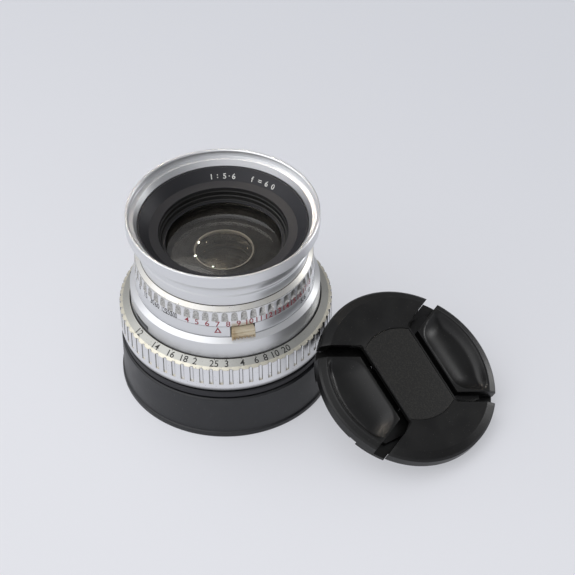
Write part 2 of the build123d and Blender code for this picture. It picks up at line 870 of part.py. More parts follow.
# ================= Front cap, leaning on the focusing ring =================
tilt = math.radians(cap_tilt)
slope = math.radians(cap_heading)
cap_normal = Vector(
    math.sin(tilt) * math.cos(slope),
    math.sin(tilt) * math.sin(slope),
    math.cos(tilt),
)
lean_reach = pinch_cap_radius * math.cos(tilt) - spigot_height * math.sin(tilt)
cap_reach = knurl_radius + lean_gap + lean_reach
cap_origin = Vector(
    cap_reach * math.cos(math.radians(cap_place)),
    cap_reach * math.sin(math.radians(cap_place)),
    spigot_radius * math.sin(tilt),
)
pinch = math.radians(cap_pinch_heading)
pinch_level = Vector(math.cos(pinch), math.sin(pinch), 0)
pinch_axis = pinch_level - cap_normal * pinch_level.dot(cap_normal)
cap_plane = Plane(origin=cap_origin, x_dir=pinch_axis, z_dir=cap_normal)
cap_place_on_floor = cap_plane.location

skin_low = pinch_cap_height - pinch_cap_skin
guide_low = 1.2
guide_height = 1.4
lever_low = guide_low + guide_height + 0.3
lever_floor = 1.2
flare_angle = math.radians(window_flare)
far = 2 * pinch_cap_radius


def cap_window(edge, corner, side, height=0.0):
    """A level outline that opens outwards from an edge square to the pinch axis."""
    rise = (far - edge) * math.tan(flare_angle)
    with BuildSketch(Plane.XY.offset(height)) as window:
        with BuildLine():
            Polyline(
                (side * edge, -corner),
                (side * edge, corner),
                (side * far, corner + rise),
                (side * far, -corner - rise),
                close=True,
            )
        make_face()
    return window.sketch


def cap_write(builder, name):
    """Move a piece of the front cap from its own upright frame to where the cap lies."""
    with BuildPart() as placed:
        with Locations(cap_place_on_floor):
            add(builder.part)
    write(placed, name)


with BuildPart() as cap_shell:
    revolve(
        upright(
            (0, pinch_cap_height),
            (pinch_cap_radius - pinch_cap_side, pinch_cap_height),
            (pinch_cap_radius - 0.8, pinch_cap_height - 1.1),
            (pinch_cap_radius, pinch_cap_height - 1.8),
            (pinch_cap_radius, spigot_height + 0.2),
            (pinch_cap_radius - 0.2, spigot_height),
            (spigot_radius, spigot_height),
            (spigot_radius, 0.2),
            (spigot_radius - 0.2, 0),
            (spigot_radius - spigot_wall, 0),
            (spigot_radius - spigot_wall, skin_low),
            (0, skin_low),
        ),
        axis=Axis.Z,
    )
    for side in (-1, 1):
        extrude(cap_window(window_edge, window_corner, side, -1.0), amount=12, mode=Mode.SUBTRACT)
    # Posts down to the guide plate
    with BuildSketch(Plane.XY.offset(guide_low + guide_height)):
        with Locations((0, 15), (0, -15), (0, 26), (0, -26)):
            Circle(2.0)
    extrude(amount=skin_low - guide_low - guide_height + 0.2)
    # Seat of the textured centre panel
    with BuildSketch(Plane.XY.offset(pinch_cap_height - panel_depth)):
        Circle(panel_radius)
        Rectangle(2 * window_edge - 1.2, 2 * far, mode=Mode.INTERSECT)
    extrude(amount=2 * panel_depth, mode=Mode.SUBTRACT)
cap_write(cap_shell, "front_cap_shell")

with BuildPart() as cap_panel:
    with BuildSketch(Plane.XY.offset(pinch_cap_height - panel_depth)):
        Circle(panel_radius - 2 * seat_gap)
        Rectangle(2 * window_edge - 1.2 - 4 * seat_gap, 2 * far, mode=Mode.INTERSECT)
    extrude(amount=panel_depth)
cap_write(cap_panel, "front_cap_panel")

catch_inner = spigot_radius - 1.4
catch_sweep = 36.0
with BuildPart() as cap_guide:
    with BuildSketch(Plane.XY.offset(guide_low)):
        Circle(spigot_radius - spigot_wall - seat_gap)
        for side in (-1, 1):
            with Locations((side * far, 0)):
                reach = far - catch_inner * math.cos(math.radians(catch_sweep / 2)) + lever_travel + 0.4
                Rectangle(2 * reach, 24.0, mode=Mode.SUBTRACT)
    extrude(amount=guide_height)
    # Ears that floor the outer ends of the channels beside the levers
    with BuildSketch(Plane.XY.offset(guide_low)):
        for side in (-1, 1):
            add(cap_window(window_edge, window_corner - 0.2, side, guide_low))
        Circle(pinch_cap_radius - 0.3, mode=Mode.INTERSECT)
        Circle(spigot_radius - spigot_wall - 1.0, mode=Mode.SUBTRACT)
        Rectangle(2 * far, 27.0, mode=Mode.SUBTRACT)
    extrude(amount=guide_height)
cap_write(cap_guide, "front_cap_guide_plate")


def lever(side):
    """A finger lever: floor plate, walls round the finger pocket, rim and catch."""
    heading = 0 if side > 0 else 180
    with BuildPart() as piece:
        # Floor plate that runs between the guide plate and the shell
        with BuildSketch(Plane.XY.offset(lever_low)):
            Circle(spigot_radius - spigot_wall - lever_travel - 0.3)
            with Locations((side * (lever_edge - 3.8 + far), 0)):
                Rectangle(2 * far, 38.0, mode=Mode.INTERSECT)
        extrude(amount=lever_floor)
        # Walls
        body = cap_window(lever_edge, lever_corner, side, lever_low)
        with BuildSketch(Plane.XY.offset(lever_low)):
            add(body)
            Circle(pinch_cap_radius, mode=Mode.INTERSECT)
        extrude(amount=pinch_cap_height - lever_sink - lever_low)
        # Sloping rim outside
        revolve(
            upright(
                (pinch_cap_radius - 2.4, pinch_cap_height + 1),
                (pinch_cap_radius - 2.4, pinch_cap_height - 0.9),
                (pinch_cap_radius - 0.6, pinch_cap_height - 1.5),
                (pinch_cap_radius, pinch_cap_height - 2.1),
                (pinch_cap_radius + 2, pinch_cap_height - 2.1),
                (pinch_cap_radius + 2, pinch_cap_height + 1),
            ),
            axis=Axis.Z,
            mode=Mode.SUBTRACT,
        )
        # Finger pocket
        wall_shift = lever_wall / math.cos(flare_angle) - lever_wall * math.tan(flare_angle)
        pocket = cap_window(lever_edge + lever_wall, lever_corner - wall_shift, side, lever_low + lever_floor)
        with BuildSketch(Plane.XY.offset(lever_low + lever_floor)):
            add(pocket)
            Circle(pinch_cap_radius - 5.0, mode=Mode.INTERSECT)
        extrude(amount=pinch_cap_height, mode=Mode.SUBTRACT)
        # Catch that grips the filter thread
        catch = ring_sector(catch_inner, spigot_radius + 0.3, heading - catch_sweep / 2, catch_sweep)
        extrude(catch, amount=lever_low + 0.2)
        for groove in (0.5, 1.2, 1.9):
            revolve(
                upright(
                    (spigot_radius - 0.15, groove + 0.2),
                    (spigot_radius + 0.5, groove - 0.1),
                    (spigot_radius + 0.5, groove + 0.5),
                ),
                axis=Axis.Z,
                mode=Mode.SUBTRACT,
            )
    return piece


cap_write(lever(1), "front_cap_lever_1")
cap_write(lever(-1), "front_cap_lever_2")

# The two coil springs between the levers
spring_radius = 0.75
spring_wire = 0.3
spring_length = 2 * (lever_edge - 3.8)
spring_level = lever_low + lever_floor / 2
with BuildPart() as spring_blank:
    coil_length = spring_length - spring_wire - 2 * seat_gap
    with BuildLine() as coil:
        Helix(
            pitch=1.4,
            height=coil_length,
            radius=spring_radius,
            center=(-coil_length / 2, 0, 0),
            direction=(1, 0, 0),
        )
    with BuildSketch(Plane(origin=coil.line @ 0, z_dir=coil.line % 0)):
        Circle(spring_wire / 2)
    sweep()

with BuildPart() as cap_springs:
    for offset_side in (-9.5, 9.5):
        with Locations((0, offset_side, spring_level)):
            add(spring_blank.part)
cap_write(cap_springs, "front_cap_springs")
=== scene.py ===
"""A silver wide-angle lens with a leaf shutter, standing on its rear cap, and its black front cap.

Sizes in the classes are millimetres, as on a maker's drawing, and meshes are in metres.
"""

import json
import logging
import math
from dataclasses import dataclass, field
from enum import Enum
from typing import Callable

import bmesh
import bpy
import numpy as np
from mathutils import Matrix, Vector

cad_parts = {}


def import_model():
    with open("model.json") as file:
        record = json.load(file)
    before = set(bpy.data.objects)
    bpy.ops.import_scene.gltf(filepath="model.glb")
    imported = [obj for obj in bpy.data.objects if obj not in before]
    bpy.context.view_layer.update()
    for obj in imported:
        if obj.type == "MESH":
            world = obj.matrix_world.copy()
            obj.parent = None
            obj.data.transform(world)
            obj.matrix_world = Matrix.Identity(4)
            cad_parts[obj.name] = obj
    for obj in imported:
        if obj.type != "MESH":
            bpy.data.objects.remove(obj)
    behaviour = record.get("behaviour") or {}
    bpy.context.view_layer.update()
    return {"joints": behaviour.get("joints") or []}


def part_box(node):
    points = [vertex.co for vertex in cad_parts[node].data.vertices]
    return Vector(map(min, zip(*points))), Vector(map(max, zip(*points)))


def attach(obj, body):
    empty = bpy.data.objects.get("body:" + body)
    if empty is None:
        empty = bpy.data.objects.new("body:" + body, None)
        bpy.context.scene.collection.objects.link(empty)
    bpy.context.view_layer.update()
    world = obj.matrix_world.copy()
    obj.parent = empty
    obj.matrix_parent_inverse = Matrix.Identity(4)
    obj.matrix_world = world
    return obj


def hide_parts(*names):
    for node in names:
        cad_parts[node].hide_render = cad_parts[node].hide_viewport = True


Tree = bpy.types.NodeTree
Socket = bpy.types.NodeSocket

MM = 0.001
TAU = 2 * math.pi
log = logging.getLogger("lens")

# Settings of a map range that eases from one end to the other
EASED = {"interpolation_type": "SMOOTHSTEP"}
# Settings of a mix of two colours, whose result is its output number 2
COLOURS = {"data_type": "RGBA"}


# ---------------------------------------------------------------- meshes


def soft_outline(corners: list[tuple[float, ...]], steps: int = 3) -> np.ndarray:
    """Round the corners of a closed outline of (radius, height[, rounding]) points.

    Each corner gives way to an arc that touches both of its sides: its centre lies on the
    corner's bisector, and its points turn evenly from one side's touch to the other's. A guard
    point just past each touch keeps the flats flat when they are shaded smooth.

    Args:
        corners: the outline's corners, with a rounding radius of 0.12 mm where none is given.
        steps: how many facets each arc has.

    Returns:
        The rounded outline, one (radius, height) row per point.
    """
    place = np.array([c[:2] for c in corners], float)
    want = np.array([c[2] if len(c) > 2 else 0.12 for c in corners], float)
    back = np.roll(place, 1, 0) - place
    ahead = np.roll(place, -1, 0) - place
    long_back, long_ahead = np.linalg.norm(back, axis=1), np.linalg.norm(ahead, axis=1)
    back, ahead = back / long_back[:, None], ahead / long_ahead[:, None]
    half = np.arccos(np.clip((back * ahead).sum(1), -0.9999, 0.9999)) / 2
    reach = np.minimum(want / np.tan(half), 0.42 * np.minimum(long_back, long_ahead))
    radius = reach * np.tan(half)
    bisector = back + ahead
    bisector /= np.maximum(np.linalg.norm(bisector, axis=1), 1e-9)[:, None]
    centre = place + bisector * (radius / np.sin(half))[:, None]
    turn = math.pi - 2 * half
    share = np.linspace(0, 1, steps + 1)[None, :, None]
    first = (place + back * reach[:, None] - centre)[:, None, :]
    last = (place + ahead * reach[:, None] - centre)[:, None, :]
    width = np.sin(turn)[:, None, None]
    arc = (
        np.sin((1 - share) * turn[:, None, None]) * first + np.sin(share * turn[:, None, None]) * last
    ) / np.maximum(width, 1e-6)
    arc += centre[:, None, :]
    guard_back = place + back * (reach + 0.35 * np.minimum(reach, long_back - 2.2 * reach + 1e-3))[:, None]
    guard_ahead = place + ahead * (reach + 0.35 * np.minimum(reach, long_ahead - 2.2 * reach + 1e-3))[:, None]
    return np.concatenate([guard_back[:, None], arc, guard_ahead[:, None]], 1).reshape(-1, 2)


def around(count: int) -> np.ndarray:
    """Even headings round the axis, in radians."""
    return np.arange(count) * TAU / count


def grid_faces(rows: int, columns: int, wrap_rows: bool, wrap_columns: bool) -> np.ndarray:
    """Quads between neighbouring points of a grid, joined end to end where it wraps.

    Args:
        rows: how many rows the grid has.
        columns: how many points each row has.
        wrap_rows: whether the last row joins the first.
        wrap_columns: whether each row closes on itself.

    Returns:
        One row of four point numbers per face.
    """
    i = np.arange(rows if wrap_rows else rows - 1)[:, None]
    j = np.arange(columns if wrap_columns else columns - 1)[None, :]
    i2, j2 = (i + 1) % rows, (j + 1) % columns
    quads = np.stack(
        np.broadcast_arrays(i * columns + j, i * columns + j2, i2 * columns + j2, i2 * columns + j), -1
    )
    return quads.reshape(-1, 4)


@dataclass
class Shape:
    """Points in millimetres, and faces as rows of point numbers."""

    points: np.ndarray
    faces: list

    def plus(self, other: "Shape") -> "Shape":
        """This shape and another in one."""
        shift = len(self.points)
        faces = self.faces + [tuple(int(v) + shift for v in face) for face in other.faces]
        return Shape(np.concatenate([self.points, other.points]), faces)

    def moved(self, turn: np.ndarray, place: np.ndarray) -> "Shape":
        """The shape turned by a matrix, then moved."""
        return Shape(self.points @ np.asarray(turn).T + np.asarray(place), self.faces)


Relief = Callable[[np.ndarray, np.ndarray, np.ndarray], tuple[np.ndarray, np.ndarray]]


def lathe(outline: np.ndarray, headings: np.ndarray, relief: Relief | None = None) -> Shape:
    """Turn a closed outline about the axis.

    A point of outline row i at heading a is (r cos a, r sin a, z), with r and z the row's own,
    or what the relief makes of them there. An outline that starts and ends on the axis is closed
    by one point at each of its poles.

    Args:
        outline: the closed outline, one (radius, height) row per point.
        headings: the headings round the axis, in radians.
        relief: what to make of each point's radius and height, if anything.

    Returns:
        The turned shape.
    """
    on_axis = outline[0, 0] < 1e-6 and outline[-1, 0] < 1e-6
    rows = outline[1:-1] if on_axis else outline
    radius = np.repeat(rows[:, :1], len(headings), 1)
    height = np.repeat(rows[:, 1:], len(headings), 1)
    angle = np.repeat(headings[None, :], len(rows), 0)
    if relief is not None:
        radius, height = relief(radius, height, angle)
    points = np.stack([radius * np.cos(angle), radius * np.sin(angle), height], -1).reshape(-1, 3)
    faces = grid_faces(len(rows), len(headings), not on_axis, True).tolist()
    if on_axis:
        count, last = len(headings), (len(rows) - 1) * len(headings)
        poles = np.array([[0, 0, outline[0, 1]], [0, 0, outline[-1, 1]]])
        low, high = len(points), len(points) + 1
        points = np.concatenate([points, poles])
        j = np.arange(count)
        nxt = (j + 1) % count
        faces += np.stack([np.full(count, low), nxt, j], 1).tolist()
        faces += np.stack([np.full(count, high), last + j, last + nxt], 1).tolist()
    return Shape(points, faces)


def sector(outline: np.ndarray, start: float, stop: float, count: int) -> Shape:
    """Turn a closed outline through part of a circle and shut both ends, headings in radians.

    Args:
        outline: the closed outline, one (radius, height) row per point.
        start: heading of the first end.
        stop: heading of the last end.
        count: how many sections there are.

    Returns:
        The shape, with flat ends.
    """
    angle = np.linspace(start, stop, count)[None, :]
    radius, height = outline[:, :1], np.repeat(outline[:, 1:], count, 1)
    points = np.stack([radius * np.cos(angle), radius * np.sin(angle), height], -1).reshape(-1, 3)
    faces = grid_faces(len(outline), count, True, False).tolist()
    ring = np.arange(len(outline)) * count
    return Shape(points, faces + [ring.tolist(), (ring + count - 1)[::-1].tolist()])


def loft(rings: np.ndarray) -> Shape:
    """Join closed outlines of equal counts, stacked as (level, point, xyz), and shut both ends."""
    levels, count = rings.shape[:2]
    faces = grid_faces(levels, count, False, True).tolist()
    ends = [list(range(count))[::-1], list(range((levels - 1) * count, levels * count))]
    return Shape(rings.reshape(-1, 3), faces + ends)


def prism(outline: np.ndarray, low: float, high: float) -> Shape:
    """An (x, y) outline drawn up from one level to another."""
    flat = np.concatenate([outline, np.zeros((len(outline), 1))], 1)
    return loft(np.stack([flat + [0, 0, low], flat + [0, 0, high]]))


def rounded_mesh(name: str, shape: Shape, bevel: float, sharp: float) -> bpy.types.Mesh:
    """Make a mesh of a shape: doubles merged, faces outwards, edges bevelled, shaded smooth.

    Args:
        name: the mesh's name.
        shape: its points and faces, in millimetres.
        bevel: width of the bevel on edges of over 40 degrees, in millimetres, or 0 for none.
        sharp: edges that turn by more than this, in degrees, stay crisp.

    Returns:
        The finished mesh, in metres.
    """
    mesh = bpy.data.meshes.new(name)
    mesh.from_pydata((shape.points * MM).tolist(), [], shape.faces)
    work = bmesh.new()
    work.from_mesh(mesh)
    bmesh.ops.remove_doubles(work, verts=work.verts, dist=2e-6)
    bmesh.ops.dissolve_degenerate(work, edges=work.edges, dist=1e-6)
    bmesh.ops.recalc_face_normals(work, faces=work.faces)
    work.to_mesh(mesh)
    work.free()
    if bevel > 0:
        holder = bpy.data.objects.new(name + "_blank", mesh)
        bpy.context.scene.collection.objects.link(holder)
        edge = holder.modifiers.new("Edges", "BEVEL")
        edge.width, edge.segments, edge.limit_method = bevel * MM, 2, "ANGLE"
        edge.angle_limit = math.radians(40)
        graph = bpy.context.evaluated_depsgraph_get()
        mesh = bpy.data.meshes.new_from_object(holder.evaluated_get(graph))
        bpy.data.objects.remove(holder)
    mesh.name = name
    mesh.shade_smooth()
    mesh.set_sharp_from_angle(angle=math.radians(sharp))
    return mesh


def place_piece(
    name: str,
    shape: Shape,
    material: bpy.types.Material,
    body: str,
    replaces: tuple[str, ...] = (),
    bevel: float = 0.0,
    sharp: float = 32.0,
) -> bpy.types.Object:
    """Put a finished piece in the scene, on its body, in place of its CAD nodes.

    Args:
        name: the piece's name.
        shape: its points and faces.
        material: its finish.
        body: the body that it rides on.
        replaces: the CAD nodes that it stands in for.
        bevel: width of its bevelled edges, in millimetres.
        sharp: edges that turn by more than this, in degrees, stay crisp.

    Returns:
        The piece.
    """
    mesh = rounded_mesh(name, shape, bevel, sharp)
    piece = bpy.data.objects.new(name, mesh)
    bpy.context.scene.collection.objects.link(piece)
    mesh.materials.clear()
    mesh.materials.append(material)
    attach(piece, body)
    if replaces:
        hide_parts(*replaces)
    log.info("%s rides on %s, %d faces", name, body, len(mesh.polygons))
    return piece


def cad_shape(node: str) -> Shape:
    """A copy of a CAD node's points and faces, in millimetres."""
    mesh = bpy.data.objects[node].data
    points = np.empty(len(mesh.vertices) * 3, np.float64)
    mesh.vertices.foreach_get("co", points)
    return Shape(points.reshape(-1, 3) / MM, [tuple(face.vertices) for face in mesh.polygons])


def level_of(node: str) -> float:
    """The underside of a CAD node, in millimetres."""
    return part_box(node)[0].z / MM


# ---------------------------------------------------------------- finishes


def linear(hex_colour: str) -> tuple[float, float, float, float]:
    """An sRGB hex colour as the linear RGBA that Blender's sockets take."""
    value = np.array([int(hex_colour[i : i + 2], 16) / 255 for i in (1, 3, 5)])
    value = np.where(value <= 0.04045, value / 12.92, ((value + 0.055) / 1.055) ** 2.4)
    return (*value.tolist(), 1.0)


def add_node(tree: Tree, kind: str, inputs: dict | None = None, **settings: object) -> bpy.types.Node:
    """Add a shader node.

    Args:
        tree: the material's node tree.
        kind: the node's type, without its ShaderNode prefix.
        inputs: socket name or number to a value, a socket, or a node whose first output is used.
        settings: the node's own settings.

    Returns:
        The node.
    """
    made = tree.nodes.new("ShaderNode" + kind)
    for key, value in settings.items():
        setattr(made, key, value)
    for key, value in (inputs or {}).items():
        if isinstance(value, bpy.types.Node):
            tree.links.new(value.outputs[0], made.inputs[key])
        elif isinstance(value, Socket):
            tree.links.new(value, made.inputs[key])
        else:
            made.inputs[key].default_value = value
    return made


def blank_material(name: str) -> tuple[bpy.types.Material, Tree]:
    """A material with an empty node tree."""
    material = bpy.data.materials.new(name)
    material.use_nodes = True
    material.node_tree.nodes.clear()
    return material, material.node_tree


@dataclass(frozen=True)
class Place:
    """Sockets that say where a point of the surface is."""

    point: Socket
    turned: Socket
    radius: Socket
    height: Socket
    upward: Socket

    @classmethod
    def of(cls, tree: Tree) -> "Place":
        """Build them: the point, (radius, height) for lathe marks, and how far the face looks up.

        Args:
            tree: the material's node tree.

        Returns:
            The sockets.
        """
        where = add_node(tree, "TexCoord")
        parts = add_node(tree, "SeparateXYZ", {0: where.outputs["Object"]})
        level = add_node(tree, "CombineXYZ", {"X": parts.outputs["X"], "Y": parts.outputs["Y"]})
        radius = add_node(tree, "VectorMath", {0: level}, operation="LENGTH").outputs["Value"]
        turned = add_node(tree, "CombineXYZ", {"X": radius, "Z": parts.outputs["Z"]})
        normal = add_node(tree, "SeparateXYZ", {0: where.outputs["Normal"]})
        return cls(
            where.outputs["Object"], turned.outputs[0], radius, parts.outputs["Z"], normal.outputs["Z"]
        )


@dataclass(frozen=True)
class Hollow:
    """A row of cuts in a leaning wall, darkened by painted shade and dirt."""

    radius: float
    low: float
    high: float
    lean: float = 0.0
    skin: float = 0.02  # depth in mm at which the painted shade and dirt begin
    deep: float = 0.14  # depth at which they cover
    floor: float = 9.0  # depth past which the cut's floor keeps the wall's own colour, free of painted shade
    pale: str = "#A3A29D"
    soiled_and_shaded: str = "#6E6C67"

    def shade(self, tree: Tree, place: Place) -> bpy.types.Node:
        """1 where the surface lies deep inside the uncut wall.

        The wall is at radius - lean * (height - low), and counts between the two heights.

        Args:
            tree: the material's node tree.
            place: where the point of the surface is.

        Returns:
            The node whose first output is the share.
        """
        start = (self.radius + self.lean * self.low) * MM
        wall = add_node(tree, "Math", {0: place.height, 1: -self.lean, 2: start}, operation="MULTIPLY_ADD")
        short = add_node(tree, "Math", {0: wall.outputs[0], 1: place.radius}, operation="SUBTRACT")
        inside = add_node(
            tree,
            "MapRange",
            {"Value": short, "From Min": self.skin * MM, "From Max": self.deep * MM},
            **EASED,
        )
        clean = add_node(
            tree,
            "MapRange",
            {"Value": short, "From Min": self.floor * MM, "From Max": (self.floor - 0.12) * MM},
            **EASED,
        )
        inside = add_node(tree, "Math", {0: inside, 1: clean}, operation="MULTIPLY")
        above = add_node(
            tree,
            "MapRange",
            {"Value": place.height, "From Min": (self.low - 0.02) * MM, "From Max": (self.low + 0.15) * MM},
            **EASED,
        )
        below = add_node(
            tree,
            "MapRange",
            {"Value": place.height, "From Min": (self.high + 0.05) * MM, "From Max": (self.high - 0.1) * MM},
            **EASED,
        )
        return add_node(
            tree,
            "Math",
            {0: add_node(tree, "Math", {0: inside, 1: above}, operation="MULTIPLY"), 1: below},
            operation="MULTIPLY",
        )


@dataclass(frozen=True)
class Seam:
    """A circle where the plate is darkened: painted shade, with some dirt, in a gap between two rings or a
    corner, and wear nicks on a knocked edge where it is spotty.
    """

    radius: float
    height: float
    reach: float
    spotty: bool = False

    def shade(
        self, tree: Tree, place: Place, patches: bpy.types.Node
    ) -> bpy.types.Node:
        """1 on the circle, falling to 0 at its reach, and broken into nicks where it is spotty.

        Args:
            tree: the material's node tree.
            place: where the point of the surface is.
            patches: 1 in the places where a spotty seam shows.

        Returns:
            The node whose first output is the share.
        """
        centre = (self.radius * MM, 0.0, self.height * MM)
        away = add_node(tree, "VectorMath", {0: place.turned, 1: centre}, operation="DISTANCE")
        near = add_node(
            tree,
            "MapRange",
            {"Value": away.outputs["Value"], "From Min": self.reach * MM, "From Max": 0.35 * self.reach * MM},
            **EASED,
        )
        return add_node(tree, "Math", {0: near, 1: patches}, operation="MULTIPLY") if self.spotty else near


@dataclass(frozen=True)
class Finish:
    """A finish that is one Principled surface, whose inputs each kind of finish works out."""

    name: str

    def inputs(self, tree: Tree, place: Place) -> dict:
        """The surface's inputs by name; every kind of finish has its own.

        Args:
            tree: the material's node tree.
            place: where the point of the surface is.

        Returns:
            Socket names and their values.
        """
        raise NotImplementedError

    def build(self) -> bpy.types.Material:
        """Make the material."""
        material, tree = blank_material(self.name)
        surface = add_node(tree, "BsdfPrincipled", self.inputs(tree, Place.of(tree)))
        add_node(tree, "OutputMaterial", {"Surface": surface})
        return material


@dataclass(frozen=True)
class SatinChrome(Finish):
    """Satin chrome plate on a turned light-alloy ring, decades old.

    The plate throws back its surroundings a little blurred. Fine turning marks run round it,
    faces that look up have gone cream, and small pits and specks of dirt sit in the plate.
    """

    name: str = "satin_chrome"
    silver: str = "#ECEDF0"
    aged: str = "#DDD4BC"
    dirt: str = "#6B6354"
    roughness: float = 0.3
    aged_share: float = 0.75
    line_mm: float = 0.25  # turning marks are nearer 0.05 mm, which would not show
    mottle_mm: float = 5.0
    speck_mm: float = 0.55
    speck_level: float = 0.66
    hollows: tuple[Hollow, ...] = ()
    seams: tuple[Seam, ...] = ()

    def local_colour(
        self, tree: Tree, place: Place, colour: Socket
    ) -> Socket:
        """Colour of a band that differs from the rest: none here.

        Args:
            tree: the material's node tree.
            place: where the point of the surface is.
            colour: the colour so far.

        Returns:
            The colour with the band laid over it.
        """
        return colour

    def inputs(self, tree: Tree, place: Place) -> dict:
        """The surface's inputs by name.

        Args:
            tree: the material's node tree.
            place: where the point of the surface is.

        Returns:
            Socket names and their values.
        """
        lines = add_node(
            tree, "TexNoise", {"Vector": place.turned, "Scale": 1 / (self.line_mm * MM), "Detail": 2.0}
        )
        mottle = add_node(
            tree, "TexNoise", {"Vector": place.point, "Scale": 1 / (self.mottle_mm * MM), "Detail": 5.0}
        )
        specks = add_node(
            tree, "TexNoise", {"Vector": place.point, "Scale": 1 / (self.speck_mm * MM), "Detail": 2.0}
        )
        patchy = add_node(
            tree, "MapRange", {"Value": mottle.outputs[0], "From Min": 0.35, "From Max": 0.65}, **EASED
        )
        upward = add_node(
            tree, "MapRange", {"Value": place.upward, "From Min": 0.12, "From Max": 0.75}, **EASED
        )
        age = add_node(
            tree, "Math", {0: patchy, 1: 0.35, 2: 0.65}, operation="MULTIPLY_ADD", use_clamp=True
        ).outputs[0]
        age = add_node(tree, "Math", {0: age, 1: upward}, operation="MULTIPLY")
        age = add_node(
            tree, "Math", {0: age, 1: self.aged_share, 2: 0.06}, operation="MULTIPLY_ADD", use_clamp=True
        ).outputs[0]
        spots = add_node(
            tree,
            "MapRange",
            {"Value": specks.outputs[0], "From Min": self.speck_level, "From Max": self.speck_level + 0.08},
            **EASED,
        )
        spots = add_node(tree, "Math", {0: spots, 1: 0.55}, operation="MULTIPLY")
        colour = add_node(
            tree, "Mix", {0: age, 6: linear(self.silver), 7: linear(self.aged)}, **COLOURS
        ).outputs[2]
        colour = self.local_colour(tree, place, colour)
        colour = add_node(tree, "Mix", {0: spots, 6: colour, 7: linear(self.dirt)}, **COLOURS).outputs[2]
        pitted = add_node(
            tree, "MapRange", {"Value": specks.outputs[0], "From Min": 0.35, "From Max": 0.62}, **EASED
        )
        # Painted shade, with dirt, darkens the hollows where flutes and scallops cut into the wall
        for hollow in self.hollows:
            inside = add_node(
                tree, "Mix", {0: pitted, 6: linear(hollow.pale), 7: linear(hollow.soiled_and_shaded)}, **COLOURS
            ).outputs[2]
            colour = add_node(
                tree,
                "Mix",
                {
                    0: add_node(tree, "Math", {0: hollow.shade(tree, place), 1: 0.9}, operation="MULTIPLY"),
                    6: colour,
                    7: inside,
                },
                **COLOURS,
            ).outputs[2]
        nicks = add_node(
            tree, "MapRange", {"Value": specks.outputs[0], "From Min": 0.61, "From Max": 0.67}, **EASED
        )
        # Painted shade, with some dirt, along gaps between rings and in corners; on spotty seams, wear nicks
        # on knocked edges
        for seam in self.seams:
            colour = add_node(
                tree, "Mix", {0: seam.shade(tree, place, nicks), 6: colour, 7: linear("#2B2722")}, **COLOURS
            ).outputs[2]
        rough = add_node(
            tree,
            "MapRange",
            {"Value": lines, "To Min": self.roughness - 0.08, "To Max": self.roughness + 0.12},
        ).outputs[0]
        rough = add_node(
            tree, "Math", {0: age, 1: 0.18, 2: rough}, operation="MULTIPLY_ADD", use_clamp=True
        ).outputs[0]
        height = add_node(tree, "Math", {0: spots, 1: -1.2, 2: lines.outputs[0]}, operation="MULTIPLY_ADD")
        bump = add_node(tree, "Bump", {"Strength": 0.35, "Distance": 0.02 * MM, "Height": height})
        return {"Base Color": colour, "Metallic": 1.0, "Roughness": rough, "Normal": bump}


@dataclass(frozen=True)
class BandedChrome(SatinChrome):
    """Satin chrome with a matt grey scale band, an edge that has gone tan and a heel darkened by painted
    shade.
    """

    name: str = "satin_chrome_scale"
    grey: str = "#B5B5B0"
    tan: str = "#DCD8C9"
    # painted shade: the down-facing heel is darkened in place of reflecting the black rear cap
    heel: str = "#4A4A4B"
    band_outer: float = 38.35
    edge_low: float = 34.15
    heel_low: float = 22.9
    heel_high: float = 26.0

    def local_colour(
        self, tree: Tree, place: Place, colour: Socket
    ) -> Socket:
        """Tan edge above the flutes, grey where the numbers stand, and painted shade on the lower edge.

        Args:
            tree: the material's node tree.
            place: where the point of the surface is.
            colour: the colour so far.

        Returns:
            The colour with the band laid over it.
        """
        # Painted shade on the heel, strongest at the ring's lower edge
        tarnish_and_heel_shade = add_node(
            tree,
            "MapRange",
            {"Value": place.height, "From Min": self.heel_high * MM, "From Max": (self.heel_low + 0.5) * MM},
            **EASED,
        )
        colour = add_node(tree, "Mix", {0: tarnish_and_heel_shade, 6: colour, 7: linear(self.heel)}, **COLOURS).outputs[2]
        high = add_node(
            tree,
            "MapRange",
            {
                "Value": place.height,
                "From Min": (self.edge_low - 0.1) * MM,
                "From Max": (self.edge_low + 0.2) * MM,
            },
            **EASED,
        )
        colour = add_node(
            tree,
            "Mix",
            {
                0: add_node(tree, "Math", {0: high, 1: 0.9}, operation="MULTIPLY"),
                6: colour,
                7: linear(self.tan),
            },
            **COLOURS,
        ).outputs[2]
        inner = add_node(
            tree,
            "MapRange",
            {
                "Value": place.radius,
                "From Min": (self.band_outer + 0.15) * MM,
                "From Max": (self.band_outer - 0.15) * MM,
            },
            **EASED,
        )
        return add_node(
            tree,
            "Mix",
            {
                0: add_node(tree, "Math", {0: inner, 1: high}, operation="MULTIPLY"),
                6: colour,
                7: linear(self.grey),
            },
            **COLOURS,
        ).outputs[2]


